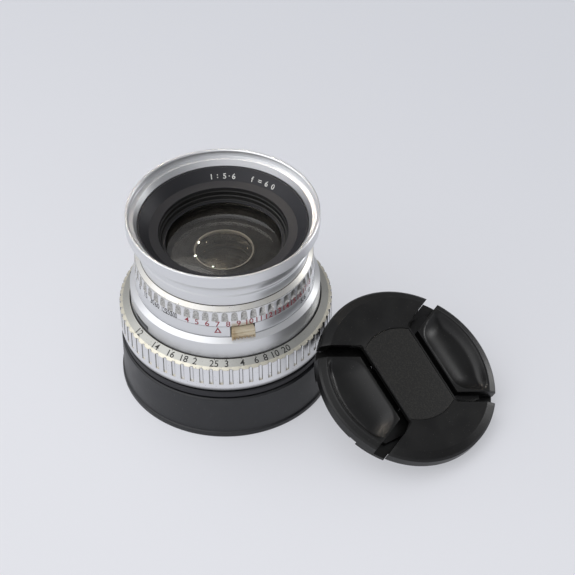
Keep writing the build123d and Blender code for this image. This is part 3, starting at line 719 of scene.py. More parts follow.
@dataclass(frozen=True)
class Moulded(Finish):
    """Moulded thermoplastic, such as ABS or nylon.

    Dielectric with a soft sheen, a faint orange-peel from the mould, handling wear that evens
    the gloss in patches, and a little pale dust.
    """

    colour: str
    worn: str
    roughness: float = 0.42
    grain_mm: float = 0.35
    grain_depth: float = 0.012
    dust_share: float = 0.25
    ior: float = 1.5

    def inputs(self, tree: Tree, place: Place) -> dict:
        """The surface's inputs by name.

        Args:
            tree: the material's node tree.
            place: where the point of the surface is.

        Returns:
            Socket names and their values.
        """
        grain = add_node(
            tree, "TexNoise", {"Vector": place.point, "Scale": 1 / (self.grain_mm * MM), "Detail": 3.0}
        )
        wear = add_node(tree, "TexNoise", {"Vector": place.point, "Scale": 1 / (9 * MM), "Detail": 6.0})
        dust = add_node(tree, "TexNoise", {"Vector": place.point, "Scale": 1 / (0.45 * MM), "Detail": 1.0})
        handled = add_node(
            tree, "MapRange", {"Value": wear.outputs[0], "From Min": 0.4, "From Max": 0.7}, **EASED
        )
        colour = add_node(
            tree, "Mix", {0: handled, 6: linear(self.colour), 7: linear(self.worn)}, **COLOURS
        ).outputs[2]
        specks = add_node(
            tree,
            "Math",
            {
                0: add_node(
                    tree, "MapRange", {"Value": dust.outputs[0], "From Min": 0.72, "From Max": 0.78}, **EASED
                ),
                1: self.dust_share,
            },
            operation="MULTIPLY",
        )
        colour = add_node(tree, "Mix", {0: specks, 6: colour, 7: linear("#8C8A84")}, **COLOURS).outputs[2]
        rough = add_node(
            tree,
            "MapRange",
            {
                "Value": wear,
                "From Min": 0.3,
                "From Max": 0.7,
                "To Min": self.roughness - 0.05,
                "To Max": self.roughness + 0.07,
            },
        )
        bump = add_node(
            tree, "Bump", {"Strength": 0.5, "Distance": self.grain_depth * MM, "Height": grain.outputs[0]}
        )
        return {"Base Color": colour, "Roughness": rough.outputs[0], "IOR": self.ior, "Normal": bump}


@dataclass(frozen=True)
class SparkGrain(Finish):
    """Moulded plastic with a spark-eroded grain: a field of small rounded pits and grains."""

    name: str = "grained_plastic"
    colour: str = "#0B0B09"
    raised: str = "#201F1B"
    roughness: float = 0.55
    grain_mm: float = 0.5

    def inputs(self, tree: Tree, place: Place) -> dict:
        """The surface's inputs by name.

        Args:
            tree: the material's node tree.
            place: where the point of the surface is.

        Returns:
            Socket names and their values.
        """
        cells = add_node(
            tree,
            "TexVoronoi",
            {"Vector": place.point, "Scale": 1 / (self.grain_mm * MM), "Randomness": 1.0},
            feature="SMOOTH_F1",
        )
        fine = add_node(tree, "TexNoise", {"Vector": place.point, "Scale": 1 / (0.25 * MM), "Detail": 2.0})
        height = add_node(
            tree, "Math", {0: fine.outputs[0], 1: 0.6, 2: cells.outputs["Distance"]}, operation="MULTIPLY_ADD"
        )
        tops = add_node(
            tree, "MapRange", {"Value": height.outputs[0], "From Min": 0.62, "From Max": 0.98}, **EASED
        )
        colour = add_node(
            tree, "Mix", {0: tops, 6: linear(self.colour), 7: linear(self.raised)}, **COLOURS
        ).outputs[2]
        bump = add_node(tree, "Bump", {"Strength": 0.8, "Distance": 0.06 * MM, "Height": height})
        return {"Base Color": colour, "Roughness": self.roughness, "IOR": 1.5, "Normal": bump}


@dataclass(frozen=True)
class BlackTurned(Finish):
    """Black anodised or black-lacquered aluminium, turned before it was blacked.

    The dye keeps the turning marks, so light runs round it in fine arcs.
    """

    name: str = "black_anodised"
    colour: str = "#0F0F10"
    bare: str = "#3A3A3D"
    roughness: float = 0.38
    line_mm: float = 0.3
    line_depth: float = 0.03
    worn_bore: float = 0.0  # radius in mm, inside which the black has rubbed away
    rubbed: str = "#8B8983"

    def inputs(self, tree: Tree, place: Place) -> dict:
        """The surface's inputs by name.

        Args:
            tree: the material's node tree.
            place: where the point of the surface is.

        Returns:
            Socket names and their values.
        """
        lines = add_node(
            tree, "TexNoise", {"Vector": place.turned, "Scale": 1 / (self.line_mm * MM), "Detail": 2.0}
        )
        scuffs = add_node(tree, "TexNoise", {"Vector": place.point, "Scale": 1 / (0.9 * MM), "Detail": 4.0})
        worn = add_node(
            tree,
            "Math",
            {
                0: add_node(
                    tree,
                    "MapRange",
                    {"Value": scuffs.outputs[0], "From Min": 0.66, "From Max": 0.76},
                    **EASED,
                ),
                1: 0.4,
            },
            operation="MULTIPLY",
        )
        colour = add_node(
            tree, "Mix", {0: worn, 6: linear(self.colour), 7: linear(self.bare)}, **COLOURS
        ).outputs[2]
        bore = add_node(
            tree,
            "MapRange",
            {
                "Value": place.radius,
                "From Min": (self.worn_bore + 0.1) * MM,
                "From Max": (self.worn_bore - 0.1) * MM,
            },
            **EASED,
        )
        colour = add_node(tree, "Mix", {0: bore, 6: colour, 7: linear(self.rubbed)}, **COLOURS).outputs[2]
        rough = add_node(
            tree,
            "MapRange",
            {"Value": lines, "To Min": self.roughness - 0.1, "To Max": self.roughness + 0.12},
        )
        bump = add_node(
            tree, "Bump", {"Strength": 0.5, "Distance": self.line_depth * MM, "Height": lines.outputs[0]}
        )
        return {"Base Color": colour, "Roughness": rough.outputs[0], "IOR": 1.5, "Normal": bump}


@dataclass(frozen=True)
class Metal(Finish):
    """A bare or plated metal part, turned or rolled: brass, blued steel or bright steel."""

    colour: str
    tarnish: str
    roughness: float
    line_mm: float = 0.3

    def inputs(self, tree: Tree, place: Place) -> dict:
        """The surface's inputs by name.

        Args:
            tree: the material's node tree.
            place: where the point of the surface is.

        Returns:
            Socket names and their values.
        """
        lines = add_node(
            tree, "TexNoise", {"Vector": place.turned, "Scale": 1 / (self.line_mm * MM), "Detail": 2.0}
        )
        patches = add_node(tree, "TexNoise", {"Vector": place.point, "Scale": 1 / (3 * MM), "Detail": 5.0})
        tarnish_and_heel_shade = add_node(
            tree, "MapRange", {"Value": patches.outputs[0], "From Min": 0.42, "From Max": 0.68}, **EASED
        )
        colour = add_node(
            tree, "Mix", {0: tarnish_and_heel_shade, 6: linear(self.colour), 7: linear(self.tarnish)}, **COLOURS
        ).outputs[2]
        rough = add_node(
            tree,
            "MapRange",
            {"Value": patches, "To Min": self.roughness - 0.08, "To Max": self.roughness + 0.14},
        )
        bump = add_node(tree, "Bump", {"Strength": 0.3, "Distance": 0.02 * MM, "Height": lines.outputs[0]})
        return {"Base Color": colour, "Metallic": 1.0, "Roughness": rough.outputs[0], "Normal": bump}


@dataclass(frozen=True)
class CoatedGlass(Finish):
    """Polished optical glass with a thin anti-reflection coat and a film of fine dust."""

    name: str = "optical_glass"
    tint: str = "#EDE8DE"
    film: str = "#D5CFC3"
    ior: float = 1.52
    coated: float = 0.14  # the coat leaves this much reflection, where bare glass has 0.5

    def inputs(self, tree: Tree, place: Place) -> dict:
        """The surface's inputs by name.

        Args:
            tree: the material's node tree.
            place: where the point of the surface is.

        Returns:
            Socket names and their values.
        """
        haze = add_node(tree, "TexNoise", {"Vector": place.point, "Scale": 1 / (4 * MM), "Detail": 6.0})
        colour = add_node(
            tree,
            "Mix",
            {
                0: add_node(
                    tree, "MapRange", {"Value": haze.outputs[0], "From Min": 0.4, "From Max": 0.7}, **EASED
                ),
                6: linear(self.tint),
                7: linear(self.film),
            },
            **COLOURS,
        ).outputs[2]
        return {
            "Base Color": colour,
            "Roughness": 0.0,
            "IOR": self.ior,
            "Specular IOR Level": self.coated,
            "Transmission Weight": 1.0,
        }


@dataclass(frozen=True)
class FilledPaint(Finish):
    """Enamel wiped into engraved figures, worn thin and chipped in places."""

    colour: str
    worn: str

    def inputs(self, tree: Tree, place: Place) -> dict:
        """The surface's inputs by name.

        Args:
            tree: the material's node tree.
            place: where the point of the surface is.

        Returns:
            Socket names and their values.
        """
        chips = add_node(tree, "TexNoise", {"Vector": place.point, "Scale": 1 / (0.5 * MM), "Detail": 3.0})
        gone = add_node(
            tree,
            "Math",
            {
                0: add_node(
                    tree, "MapRange", {"Value": chips.outputs[0], "From Min": 0.52, "From Max": 0.68}, **EASED
                ),
                1: 0.6,
            },
            operation="MULTIPLY",
        )
        colour = add_node(
            tree, "Mix", {0: gone, 6: linear(self.colour), 7: linear(self.worn)}, **COLOURS
        ).outputs[2]
        return {"Base Color": colour, "Roughness": 0.5, "IOR": 1.5}


class Stock(Enum):
    """Every finish on the object, each built once."""

    CHROME = SatinChrome(
        # seams: painted shade, with some dirt, in the gaps between rings and corners, and wear nicks on the
        # lip
        seams=(
            Seam(33.25, 45.1, 0.75),
            Seam(33.2, 50.08, 0.22),
            Seam(31.2, 58.8, 0.4),
            Seam(31.75, 62.2, 0.8),
            Seam(35.4, 36.35, 0.5),
            Seam(35.3, 76.1, 0.4, spotty=True),
        )
    )
    RING_CHROME = SatinChrome(
        "satin_chrome_scalloped",
        aged="#E6E0CE",
        aged_share=0.5,
        # painted shade and dirt in the scallops, and painted shade in the gaps above and below the ring
        hollows=(Hollow(33.2, 52.7, 57.2, 0.067, 0.0, 0.06, pale="#CBCAC5", soiled_and_shaded="#9C9A95"),),
        seams=(Seam(33.2, 50.08, 0.25), Seam(31.15, 58.75, 0.35)),
    )
    SCALE_CHROME = BandedChrome(
        # painted shade and dirt along the flute walls and where the flutes bite the tan edge; painted shade
        # in the gap at the lip, and wear nicks on the edge
        hollows=(
            Hollow(39.6, 27.1, 34.2, 0.0, 0.02, 0.1, 0.42, "#8A8983", "#5F5E59"),
            Hollow(39.6, 34.15, 34.9, 1.71, pale="#C4C1B4", soiled_and_shaded="#9F9C90"),
        ),
        seams=(Seam(35.5, 36.4, 0.4), Seam(39.6, 34.4, 0.5, spotty=True)),
    )
    REAR_PLASTIC = Moulded("satin_black_moulding", "#1C1D20", "#232427", 0.4)
    CAP_PLASTIC = Moulded("cap_moulding", "#0A0A0A", "#0F0F0E", 0.36, grain_depth=0.008, ior=1.47)
    CREAM = Moulded("aged_cream_moulding", "#D9CDB2", "#A98F66", 0.45, dust_share=0.0)
    GRAIN = SparkGrain()
    BLACK = BlackTurned()
    BLACK_MATT = BlackTurned("black_lacquer", "#0C0C0D", "#2B2B2D", 0.55)
    CELL = BlackTurned("cell_lacquer", "#0E0D0C", "#22211F", 0.5, worn_bore=11.6, rubbed="#4A4743")
    RING_EDGE = BlackTurned("worn_edge_lacquer", "#161514", "#2B2A29", 0.42, worn_bore=11.1, rubbed="#D2D0CA")
    BRASS = Metal("turned_brass", "#C9A35C", "#A17F45", 0.3)
    STEEL = Metal("bright_steel", "#C9CACC", "#A5A5A4", 0.25)
    BLUED = Metal("blued_steel", "#3A3C42", "#2B2A2C", 0.35)
    GLASS = CoatedGlass()
    INK_BLACK = FilledPaint("black_fill", "#1C1A19", "#4A4742")
    INK_RED = FilledPaint("red_fill", "#96303A", "#A4666A")
    INK_WHITE = FilledPaint("white_fill", "#E9E9E4", "#B4B4AE")

    def material(self) -> bpy.types.Material:
        """The finish's material, built the first time that it is asked for."""
        found = bpy.data.materials.get(self.value.name)
        return found or self.value.build()


# ---------------------------------------------------------------- figures on the rings


@dataclass(frozen=True)
class Wall:
    """The straight slope that figures stand on, from its foot to its top, as (radius, height)."""

    foot: tuple[float, float]
    top: tuple[float, float]
    reads: int = 1  # 1 where the text runs with the headings, -1 where it runs against them

    def wrap(self, flat: np.ndarray, heading: float) -> np.ndarray:
        """Lay flat (across, up, out) points on the wall.

        Across becomes an angle, across / radius from the heading; up runs along the slope from
        the middle of the wall, and out along the slope's outward normal.

        Args:
            flat: one (across, up, out) row per point.
            heading: where across is 0, in degrees.

        Returns:
            One (x, y, z) row per point.
        """
        foot, top = np.array(self.foot), np.array(self.top)
        along = (top - foot) / np.linalg.norm(top - foot)
        out = np.array([along[1], -along[0]]) * self.reads
        middle = (foot + top) / 2
        path = middle + flat[:, 1:2] * along + flat[:, 2:3] * out
        angle = math.radians(heading) + self.reads * flat[:, 0] / np.maximum(path[:, 0], 1.0)
        return np.stack([path[:, 0] * np.cos(angle), path[:, 0] * np.sin(angle), path[:, 1]], -1)


@dataclass(frozen=True)
class Figure:
    """One number or sign: its text, heading in degrees, height and how far up its middle stands."""

    text: str
    heading: float
    size: float = 2.4
    lift: float = 0.0
    stroke: float = 0.0
    squeeze: float = 1.0


def figure_shape(figure: Figure, wall: Wall, proud: float) -> Shape:
    """The solid letters of a figure, standing proud of its wall by a hair.

    Args:
        figure: the figure.
        wall: the slope that it stands on.
        proud: how far it stands out, in millimetres.

    Returns:
        The letters, wrapped round the wall.
    """
    curve = bpy.data.curves.new("figure", "FONT")
    curve.body, curve.size, curve.align_x, curve.align_y = figure.text, figure.size * 1.42, "CENTER", "CENTER"
    curve.extrude, curve.resolution_u, curve.offset = proud, 3, figure.stroke
    holder = bpy.data.objects.new("figure", curve)
    bpy.context.scene.collection.objects.link(holder)
    graph = bpy.context.evaluated_depsgraph_get()
    mesh = bpy.data.meshes.new_from_object(holder.evaluated_get(graph))
    flat = np.empty(len(mesh.vertices) * 3)
    mesh.vertices.foreach_get("co", flat)
    flat = flat.reshape(-1, 3)
    flat[:, 0] *= figure.squeeze
    flat[:, 1] += figure.lift - (flat[:, 1].max() + flat[:, 1].min()) / 2 if len(flat) else 0
    faces = [tuple(face.vertices) for face in mesh.polygons]
    bpy.data.objects.remove(holder)
    bpy.data.meshes.remove(mesh)
    bpy.data.curves.remove(curve)
    return Shape(wall.wrap(flat, figure.heading), faces)


def stroke_shape(wall: Wall, heading: float, width: float, low: float, high: float, proud: float) -> Shape:
    """A short engraved line up the wall, from low to high above its middle.

    Args:
        wall: the slope that it stands on.
        heading: its heading, in degrees.
        width: its width.
        low: where it starts, above the wall's middle.
        high: where it ends.
        proud: how far it stands out.

    Returns:
        The line, wrapped round the wall.
    """
    corners = np.array([[-1, 0], [1, 0], [1, 1], [-1, 1]], float)
    flat = np.stack([corners[:, 0] * width / 2, low + corners[:, 1] * (high - low)], 1)
    both = np.concatenate([np.c_[flat, np.full(4, -proud)], np.c_[flat, np.full(4, proud)]])
    shape = loft(both.reshape(2, 4, 3))
    return Shape(wall.wrap(shape.points, heading), shape.faces)


def joined(shapes: list[Shape]) -> Shape:
    """Several shapes in one."""
    total = shapes[0]
    for shape in shapes[1:]:
        total = total.plus(shape)
    return total


# ---------------------------------------------------------------- sub-assemblies


@dataclass
class RearCap:
    """The black rear cap that the lens stands on."""

    radius: float = 39.4
    height: float = 19.1
    wall: float = 1.8
    floor: float = 1.8
    foot: float = 0.6
    foot_height: float = 2.4

    def shell(self) -> Shape:
        """The cup: its outline runs from the axis out along the foot, up the wall, in and down again."""
        out, inside = self.radius + self.foot, self.radius - self.wall
        corners = [
            (4.0, 0.0, 0.05),
            (out, 0.0, 0.5),
            (out, self.foot_height - 0.5, 0.45),
            (self.radius, self.foot_height, 0.15),
            (self.radius, self.height - 0.5, 0.3),
            (self.radius - 0.6, self.height, 0.2),
            (inside, self.height, 0.15),
            (inside, self.floor, 0.6),
            (4.0, self.floor, 0.05),
        ]
        line = soft_outline(corners, 4)
        line = line[(line[:, 0] > 4.3)]
        line = np.concatenate([[[0.0, 0.0]], line, [[0.0, self.floor]]])
        return lathe(line, around(288))

    def build(self) -> None:
        """Make the cap's cup, and dress its socket ring."""
        place_piece(
            "rear_cap_cup", self.shell(), Stock.REAR_PLASTIC.material(), "rear_cap", (
                "rear_cap",
            )
        )
        dress(Stock.REAR_PLASTIC, "rear_cap_socket")


@dataclass
class FocusRing:
    """The fluted focusing ring with the distance scale on its cone."""

    radius: float = 39.6
    bore: float = 37.2
    height: float = 13.5
    heel: float = 1.2
    heel_height: float = 2.4
    lip_height: float = 1.9
    lip_radius: float = 35.5
    cone_inset: float = 1.2
    flutes: int = 68
    flute_first: float = -92.3
    flute_radius: float = 0.8
    flute_depth: float = 0.6
    flute_low: float = 4.2
    flute_top: float = 13.2
    distances: tuple[tuple[str, float], ...] = (
        ("1.2", -148.1), ("1.4", -133.2), ("1.6", -122.4),
        ("1.8", -114.0), ("2", -107.2), ("2.5", -96.2), ("3", -89.2), ("4", -80.3), ("6", -72.3),
        ("8", -66.8), ("10", -61.0), ("20", -53.5), ("5", 160.0), ("6", 146.0), ("8", 130.0),
    )  # fmt: skip

    def headings(self) -> np.ndarray:
        """Headings close together inside each flute and wide apart on the lands."""
        pitch = TAU / self.flutes
        half = math.asin(
            math.sqrt(self.flute_radius**2 - (self.flute_radius - self.flute_depth) ** 2) / self.radius
        )
        inside = np.sin(np.linspace(-1, 1, 9) * math.pi / 2) * half
        one = np.concatenate(
            [[-half * 1.06], inside, [half * 1.06], [half * 1.5, pitch / 2, pitch - half * 1.5]]
        )
        starts = math.radians(self.flute_first) + np.arange(self.flutes) * pitch
        return (starts[:, None] + np.sort(one)[None, :]).ravel()

    def cut(self, low: float) -> Relief:
        """Flutes: the surface gives way to a cutter, a circle whose centre stands off the ring.

        At an angle a from the flute's middle the cutter's face is at R cos a - sqrt(r^2 -
        (R sin a)^2), with R the cutter's distance from the axis and r its own radius.

        Args:
            low: the ring's underside.

        Returns:
            A function of radius, height and angle.
        """
        centre = self.radius + self.flute_radius - self.flute_depth
        pitch = TAU / self.flutes

        def relief(
            radius: np.ndarray, height: np.ndarray, angle: np.ndarray
        ) -> tuple[np.ndarray, np.ndarray]:
            """Radius and height with the flutes cut in.

            Args:
                radius: each point's own radius.
                height: its own height.
                angle: its heading, in radians.

            Returns:
                The radius and height that each point gets.
            """
            turn = (angle - math.radians(self.flute_first) + pitch / 2) % pitch - pitch / 2
            reach = self.flute_radius**2 - (centre * np.sin(turn)) ** 2
            face = centre * np.cos(turn) - np.sqrt(np.maximum(reach, 0))
            face = np.where(reach > 0, face, 1e3)
            in_flute = (height > low + self.flute_low) & (height < low + self.flute_top)
            return np.where(in_flute, np.minimum(radius, face), radius), height

        return relief

    def body(self, low: float) -> Shape:
        """The ring: heel, wall with flutes, tan edge, scale cone, lip and bore.

        Args:
            low: the ring's underside.

        Returns:
            The ring.
        """
        top = low + self.height
        lip = top - self.lip_height
        start = low + self.flute_low
        corners = [
            (self.bore, low, 0.1),
            (self.radius - self.heel, low, 0.15),
            (self.radius - 0.4 * self.heel, low + 0.3 * self.heel_height, 0.9),
            (self.radius, low + self.heel_height, 1.2),
            (self.radius, lip - 0.35, 0.25),
            (self.radius - self.cone_inset, lip + 0.35, 0.15),
            (self.lip_radius + 0.1, top, 0.06),
            (self.lip_radius, top, 0.02),
            (self.lip_radius, lip, 0.05),
            (self.bore, lip, 0.05),
        ]
        line = soft_outline(corners, 4)
        outer = np.abs(line[:, 0] - self.radius) < 0.02
        first = np.where(outer & (line[:, 1] < start))[0].max()
        rows = np.array([start - 0.12, start, start + 0.03, start + 0.3, (start + lip) / 2])
        line = np.insert(line, first + 1, np.c_[np.full(len(rows), self.radius), rows], 0)
        wall = np.where(np.abs(line[:, 0] - self.radius) < 0.02)[0].max()
        slope = np.linspace(0, 1, 9)[1:-1, None]
        foot, head = line[wall + 1], np.array([self.radius - self.cone_inset + 0.1, lip + 0.29])
        line = np.insert(line, wall + 2, foot + slope * (head - foot), 0)
        order = np.concatenate([[True], np.linalg.norm(np.diff(line, axis=0), axis=1) > 1e-4])
        return lathe(line[order], self.headings(), self.cut(low))

    def build(self) -> None:
        """Make the ring and the figures and ticks of its scale."""
        low = level_of("focus_ring")
        place_piece(
            "focus_ring_body", self.body(low), Stock.SCALE_CHROME.material(), "focus_ring", (
                "focus_ring",
            )
        )
        top = low + self.height
        lip = top - self.lip_height
        scale = Wall((self.radius - self.cone_inset, lip + 0.35), (self.lip_radius + 0.1, top))
        figures = [Figure(t.replace(".", ""), h, 2.5, -0.3, 0.03) for t, h in self.distances]
        marks = [figure_shape(figure, scale, 0.02) for figure in figures]
        ticks = [stroke_shape(scale, figure.heading, 0.2, 0.98, 1.5, 0.02) for figure in figures]
        place_piece(
            "distance_scale", joined(marks + ticks), Stock.INK_BLACK.material(), "focus_ring"
        )


@dataclass
class ShutterUnit:
    """The silver shutter housing and the exposure rings that turn on top of it."""

    ring_radius: float = 33.2
    ring_bore: float = 29.4
    aperture_height: float = 4.85
    speed_height: float = 8.55
    cone_height: float = 1.7
    cone_reach: float = 1.8
    cone_inset: float = 0.3
    scallops: int = 59
    scallop_first: float = -95.5
    scallop_radius: float = 2.2
    scallop_depth: float = 0.5
    scallop_low: float = 2.6
    scallop_length: float = 4.0
    index_heading: float = -94.0
    key_heading: float = -78.4
    key_width: float = 8.8
    key_height: float = 4.3
    key_stand: float = 2.2
    key_travel: float = 1.0
    pocket_depth: float = 2.6
    pocket_play: float = 0.2
    speeds: tuple[tuple[str, float], ...] = (
        ("500", -123.1), ("250", -127.1), ("125", -131.0), ("60", -137.1), ("30", -141.8), ("15", -149.4),
        ("8", -157.8), ("4", -165.0), ("2", -171.5), ("1", -178.0), ("B", -184.5),
    )  # fmt: skip

    def scallop_headings(self) -> tuple[np.ndarray, np.ndarray]:
        """Headings across every scallop and land, and each one's share of the scallop's half width."""
        pitch = TAU / self.scallops
        half = math.sqrt(self.scallop_radius**2 - (self.scallop_radius - self.scallop_depth) ** 2)
        half /= self.ring_radius
        share = np.sin(np.linspace(-1, 1, 13) * math.pi / 2)
        inside = share * half
        land = np.linspace(half, pitch - half, 4)[1:-1]
        starts = math.radians(self.scallop_first) + np.arange(self.scallops) * pitch
        headings = (starts[:, None] + np.concatenate([inside, land])[None, :]).ravel()
        shares = np.tile(np.concatenate([share, [1.0, 1.0]]), self.scallops)
        return headings, shares

    def speed_body(self, low: float) -> Shape:
        """The speed ring, with a row of scallops round it.

        Rows of the scalloped band run from its flat lower edge up to an arch, low + length *
        (1 - k + k sqrt(1 - s^2)) at a share s of the half width, and the surface between sinks
        to the cutter's face, R cos a - sqrt(r^2 - (R sin a)^2), easing out at the arch.

        Args:
            low: the ring's underside.

        Returns:
            The ring.
        """
        headings, shares = self.scallop_headings()
        top, wall = low + self.speed_height, self.ring_radius
        foot = top - self.cone_height
        start = low + self.scallop_low
        plain = [
            (self.ring_bore, low, 0.08),
            (wall, low, 0.1),
            (wall, start - 0.1, 0.02),
            (wall - self.cone_inset, foot, 0.5),
            (wall - self.cone_inset - self.cone_reach, top, 0.15),
            (self.ring_bore, top, 0.1),
        ]
        line = soft_outline(plain, 4)
        lower = line[line[:, 1] < start - 0.05]
        lower = lower[lower[:, 0] > wall - 0.5]
        upper = line[(line[:, 1] > foot - 0.3)]
        inner_low = line[(line[:, 1] < start) & (line[:, 0] < wall - 0.5)]
        steps = np.array([0, 0.001, 0.15, 0.35, 0.55, 0.72, 0.84, 0.92, 0.97, 1.0, 1.004])
        arch = 0.72 + 0.28 * np.sqrt(np.maximum(1 - shares**2, 0))
        height = start + self.scallop_length * steps[:, None] * arch[None, :]
        flat = wall - self.cone_inset * np.clip((height - start) / (foot - start), 0, 1)
        centre = wall + self.scallop_radius - self.scallop_depth
        pitch = TAU / self.scallops
        turn = (headings - math.radians(self.scallop_first) + pitch / 2) % pitch - pitch / 2
        reach = np.maximum(self.scallop_radius**2 - (centre * np.sin(turn)) ** 2, 0)
        face = np.where(reach > 0, centre * np.cos(turn) - np.sqrt(reach), wall)
        sunk = np.minimum(face[None, :], flat)
        ease = np.sqrt(np.clip((1.0 - steps) / 0.12, 0, 1)) * np.clip(0.25 + steps / 0.25, 0, 1)
        ease = ease[:, None]
        ease[0], ease[-1] = 0.0, 0.0
        radius = flat + (sunk - flat) * ease
        blocks_r = [np.repeat(b[:, :1], len(headings), 1) for b in (lower, upper, inner_low)]
        blocks_z = [np.repeat(b[:, 1:], len(headings), 1) for b in (lower, upper, inner_low)]
        all_r = np.concatenate([blocks_r[0], radius, blocks_r[1], blocks_r[2]])
        all_z = np.concatenate([blocks_z[0], height, blocks_z[1], blocks_z[2]])
        points = np.stack([all_r * np.cos(headings), all_r * np.sin(headings), all_z], -1)
        return Shape(points.reshape(-1, 3), grid_faces(len(all_r), len(headings), True, True).tolist())

    def aperture_body(self, low: float) -> Shape:
        """The aperture ring, with a pocket let into it where the interlock key stands.

        Args:
            low: the ring's underside.

        Returns:
            The ring.
        """
        top, wall = low + self.aperture_height, self.ring_radius
        half = (self.key_width / 2 + self.pocket_play) / wall
        plain = around(288) + math.radians(self.key_heading)
        turn = (plain - math.radians(self.key_heading) + math.pi) % TAU - math.pi
        plain = plain[np.abs(turn) > half * 1.05]
        edge = math.radians(self.key_heading) + half * np.array([-1, -0.999, -0.5, 0, 0.5, 0.999, 1])
        headings = np.sort((np.concatenate([plain, edge]) + TAU) % TAU)
        bore = self.ring_bore
        corners = [(bore, low, 0.08), (wall, low, 0.12), (wall, top, 0.12), (bore, top, 0.08)]
        line = soft_outline(corners, 3)

        def relief(
            radius: np.ndarray, height: np.ndarray, angle: np.ndarray
        ) -> tuple[np.ndarray, np.ndarray]:
            """Radius and height with the pocket let in.

            Args:
                radius: each point's own radius.
                height: its own height.
                angle: its heading, in radians.

            Returns:
                The radius and height that each point gets.
            """
            off = (angle - math.radians(self.key_heading) + math.pi) % TAU - math.pi
            within = np.abs(off) < half * 0.9995
            floor = (wall - self.pocket_depth) / np.cos(off)
            return np.where(within, np.minimum(radius, floor), radius), height

        return lathe(line, headings, relief)

    def index_mark(self, low: float) -> Shape:
        """The open triangle that the figures are read against.

        Args:
            low: the aperture ring's underside.

        Returns:
            The triangle, wrapped round the ring.
        """
        wall = Wall((self.ring_radius, low), (self.ring_radius, low + self.aperture_height))
        corner = np.radians([90, 210, 330])
        outer = np.stack([1.55 * np.cos(corner), 1.9 * np.sin(corner) + 0.5], 1)
        inner = np.stack([0.7 * np.cos(corner), 0.85 * np.sin(corner) + 0.47], 1)
        proud = 0.02
        sides = ((outer, -proud), (outer, proud), (inner, proud), (inner, -proud))
        rings = np.concatenate([np.c_[flat, np.full(3, out)] for flat, out in sides])
        return Shape(wall.wrap(rings, self.index_heading), grid_faces(4, 3, True, True).tolist())

    def key_body(self, low: float) -> Shape:
        """The interlock key: a rounded block with small teeth along the lower edge of its face.

        Every level is the same outline in plan, and in the lowest levels the front gives way to
        a row of round notches, depth sqrt(r^2 - y^2) at a distance y from a notch's middle.

        Args:
            low: the key's underside.

        Returns:
            The key, at its heading.
        """
        height = self.key_height
        inner = self.ring_radius - self.pocket_depth + self.key_travel + 0.25
        outer, half = self.ring_radius + self.key_stand, self.key_width / 2
        across = np.linspace(-1, 1, 85) * (half - 0.05)
        notch, pitch = 0.56, self.key_width / 7
        near = (across / pitch + 0.5) % 1 * pitch - pitch / 2
        bite = np.sqrt(np.maximum(notch**2 - near**2, 0)) * (np.abs(across) < 3.05 * pitch)
        corner = np.maximum(np.abs(across) - (half - 0.5), 0)
        rounding = 0.5 - np.sqrt(np.maximum(0.25 - corner**2, 0))
        rows = []
        for level, toothed, inset in (
            (low, 1.6, 0.12), (low + 0.1, 1.6, 0.0), (low + 1.5, 1.4, 0.0), (low + 1.6, 0, 0.0),
            (low + 3.0, 0, 0.05), (low + 3.1, 0, 0.3), (low + 3.35, 0, 0.3), (low + 3.45, 0, 0.05),
            (low + height - 0.1, 0, 0.12), (low + height, 0, 0.35),
        ):  # fmt: skip
            front = outer - rounding - toothed * bite - inset
            face = np.stack([front, across * (1 - inset / half)], 1)
            back = np.array([[inner, half - 0.4 - inset], [inner, -half + 0.4 + inset]])
            plan = np.concatenate([face, back])
            rows.append(np.c_[plan, np.full(len(plan), level)])
        turn = math.radians(self.key_heading)
        matrix = [[math.cos(turn), -math.sin(turn), 0], [math.sin(turn), math.cos(turn), 0], [0, 0, 1]]
        return loft(np.array(rows)).moved(matrix, (0, 0, 0))

    def build(self) -> None:
        """Make the housing, both rings, the key and every figure."""
        unit = "shutter_unit"
        place_piece(
            "housing_body", cad_shape("shutter_housing"), Stock.CHROME.material(), unit,
            ("shutter_housing",), sharp=25,
        )  # fmt: skip
        low = level_of("aperture_ring")
        place_piece(
            "aperture_ring_body", self.aperture_body(low), Stock.CHROME.material(), "aperture_control",
            ("aperture_ring",),
        )  # fmt: skip
        place_piece(
            "index_triangle",
            self.index_mark(low),
            Stock.INK_RED.material(),
            "aperture_control",
        )
        place_piece(
            "interlock_key_block", self.key_body(low + 0.2), Stock.CREAM.material(), "interlock_key",
            ("interlock_key",), sharp=40,
        )  # fmt: skip
        speed_low = level_of("speed_ring")
        place_piece(
            "speed_ring_body", self.speed_body(speed_low), Stock.RING_CHROME.material(), "speed_control",
            ("speed_ring",),
        )  # fmt: skip
        wall = Wall((self.ring_radius, speed_low), (self.ring_radius, speed_low + self.scallop_low))
        exposure = [
            Figure(str(n), self.index_heading + 6.6 * (n - 7), 2.45, 0.05, 0.03) for n in range(4, 19)
        ]
        place_piece(
            "exposure_figures", joined([figure_shape(f, wall, 0.02) for f in exposure]),
            Stock.INK_RED.material(), "speed_control",
        )  # fmt: skip
        times = [Figure(t, h, 2.5, 0.05, 0.04, 0.5 if len(t) > 2 else 0.7) for t, h in self.speeds]
        place_piece(
            "speed_figures", joined([figure_shape(f, wall, 0.02) for f in times]),
            Stock.INK_BLACK.material(), "speed_control",
        )  # fmt: skip
        ring = Wall((self.ring_radius, low), (self.ring_radius, low + self.aperture_height))
        numbers = ("5.6", "8", "11", "16", "22", "32")
        stops = [Figure(t, -30.0 + 9.0 * i, 2.2, 0.3, 0.02) for i, t in enumerate(numbers)]
        place_piece(
            "aperture_figures", joined([figure_shape(f, ring, 0.02) for f in stops]),
            Stock.INK_BLACK.material(), "aperture_control",
        )  # fmt: skip
        dress(Stock.STEEL, "plate_screws")
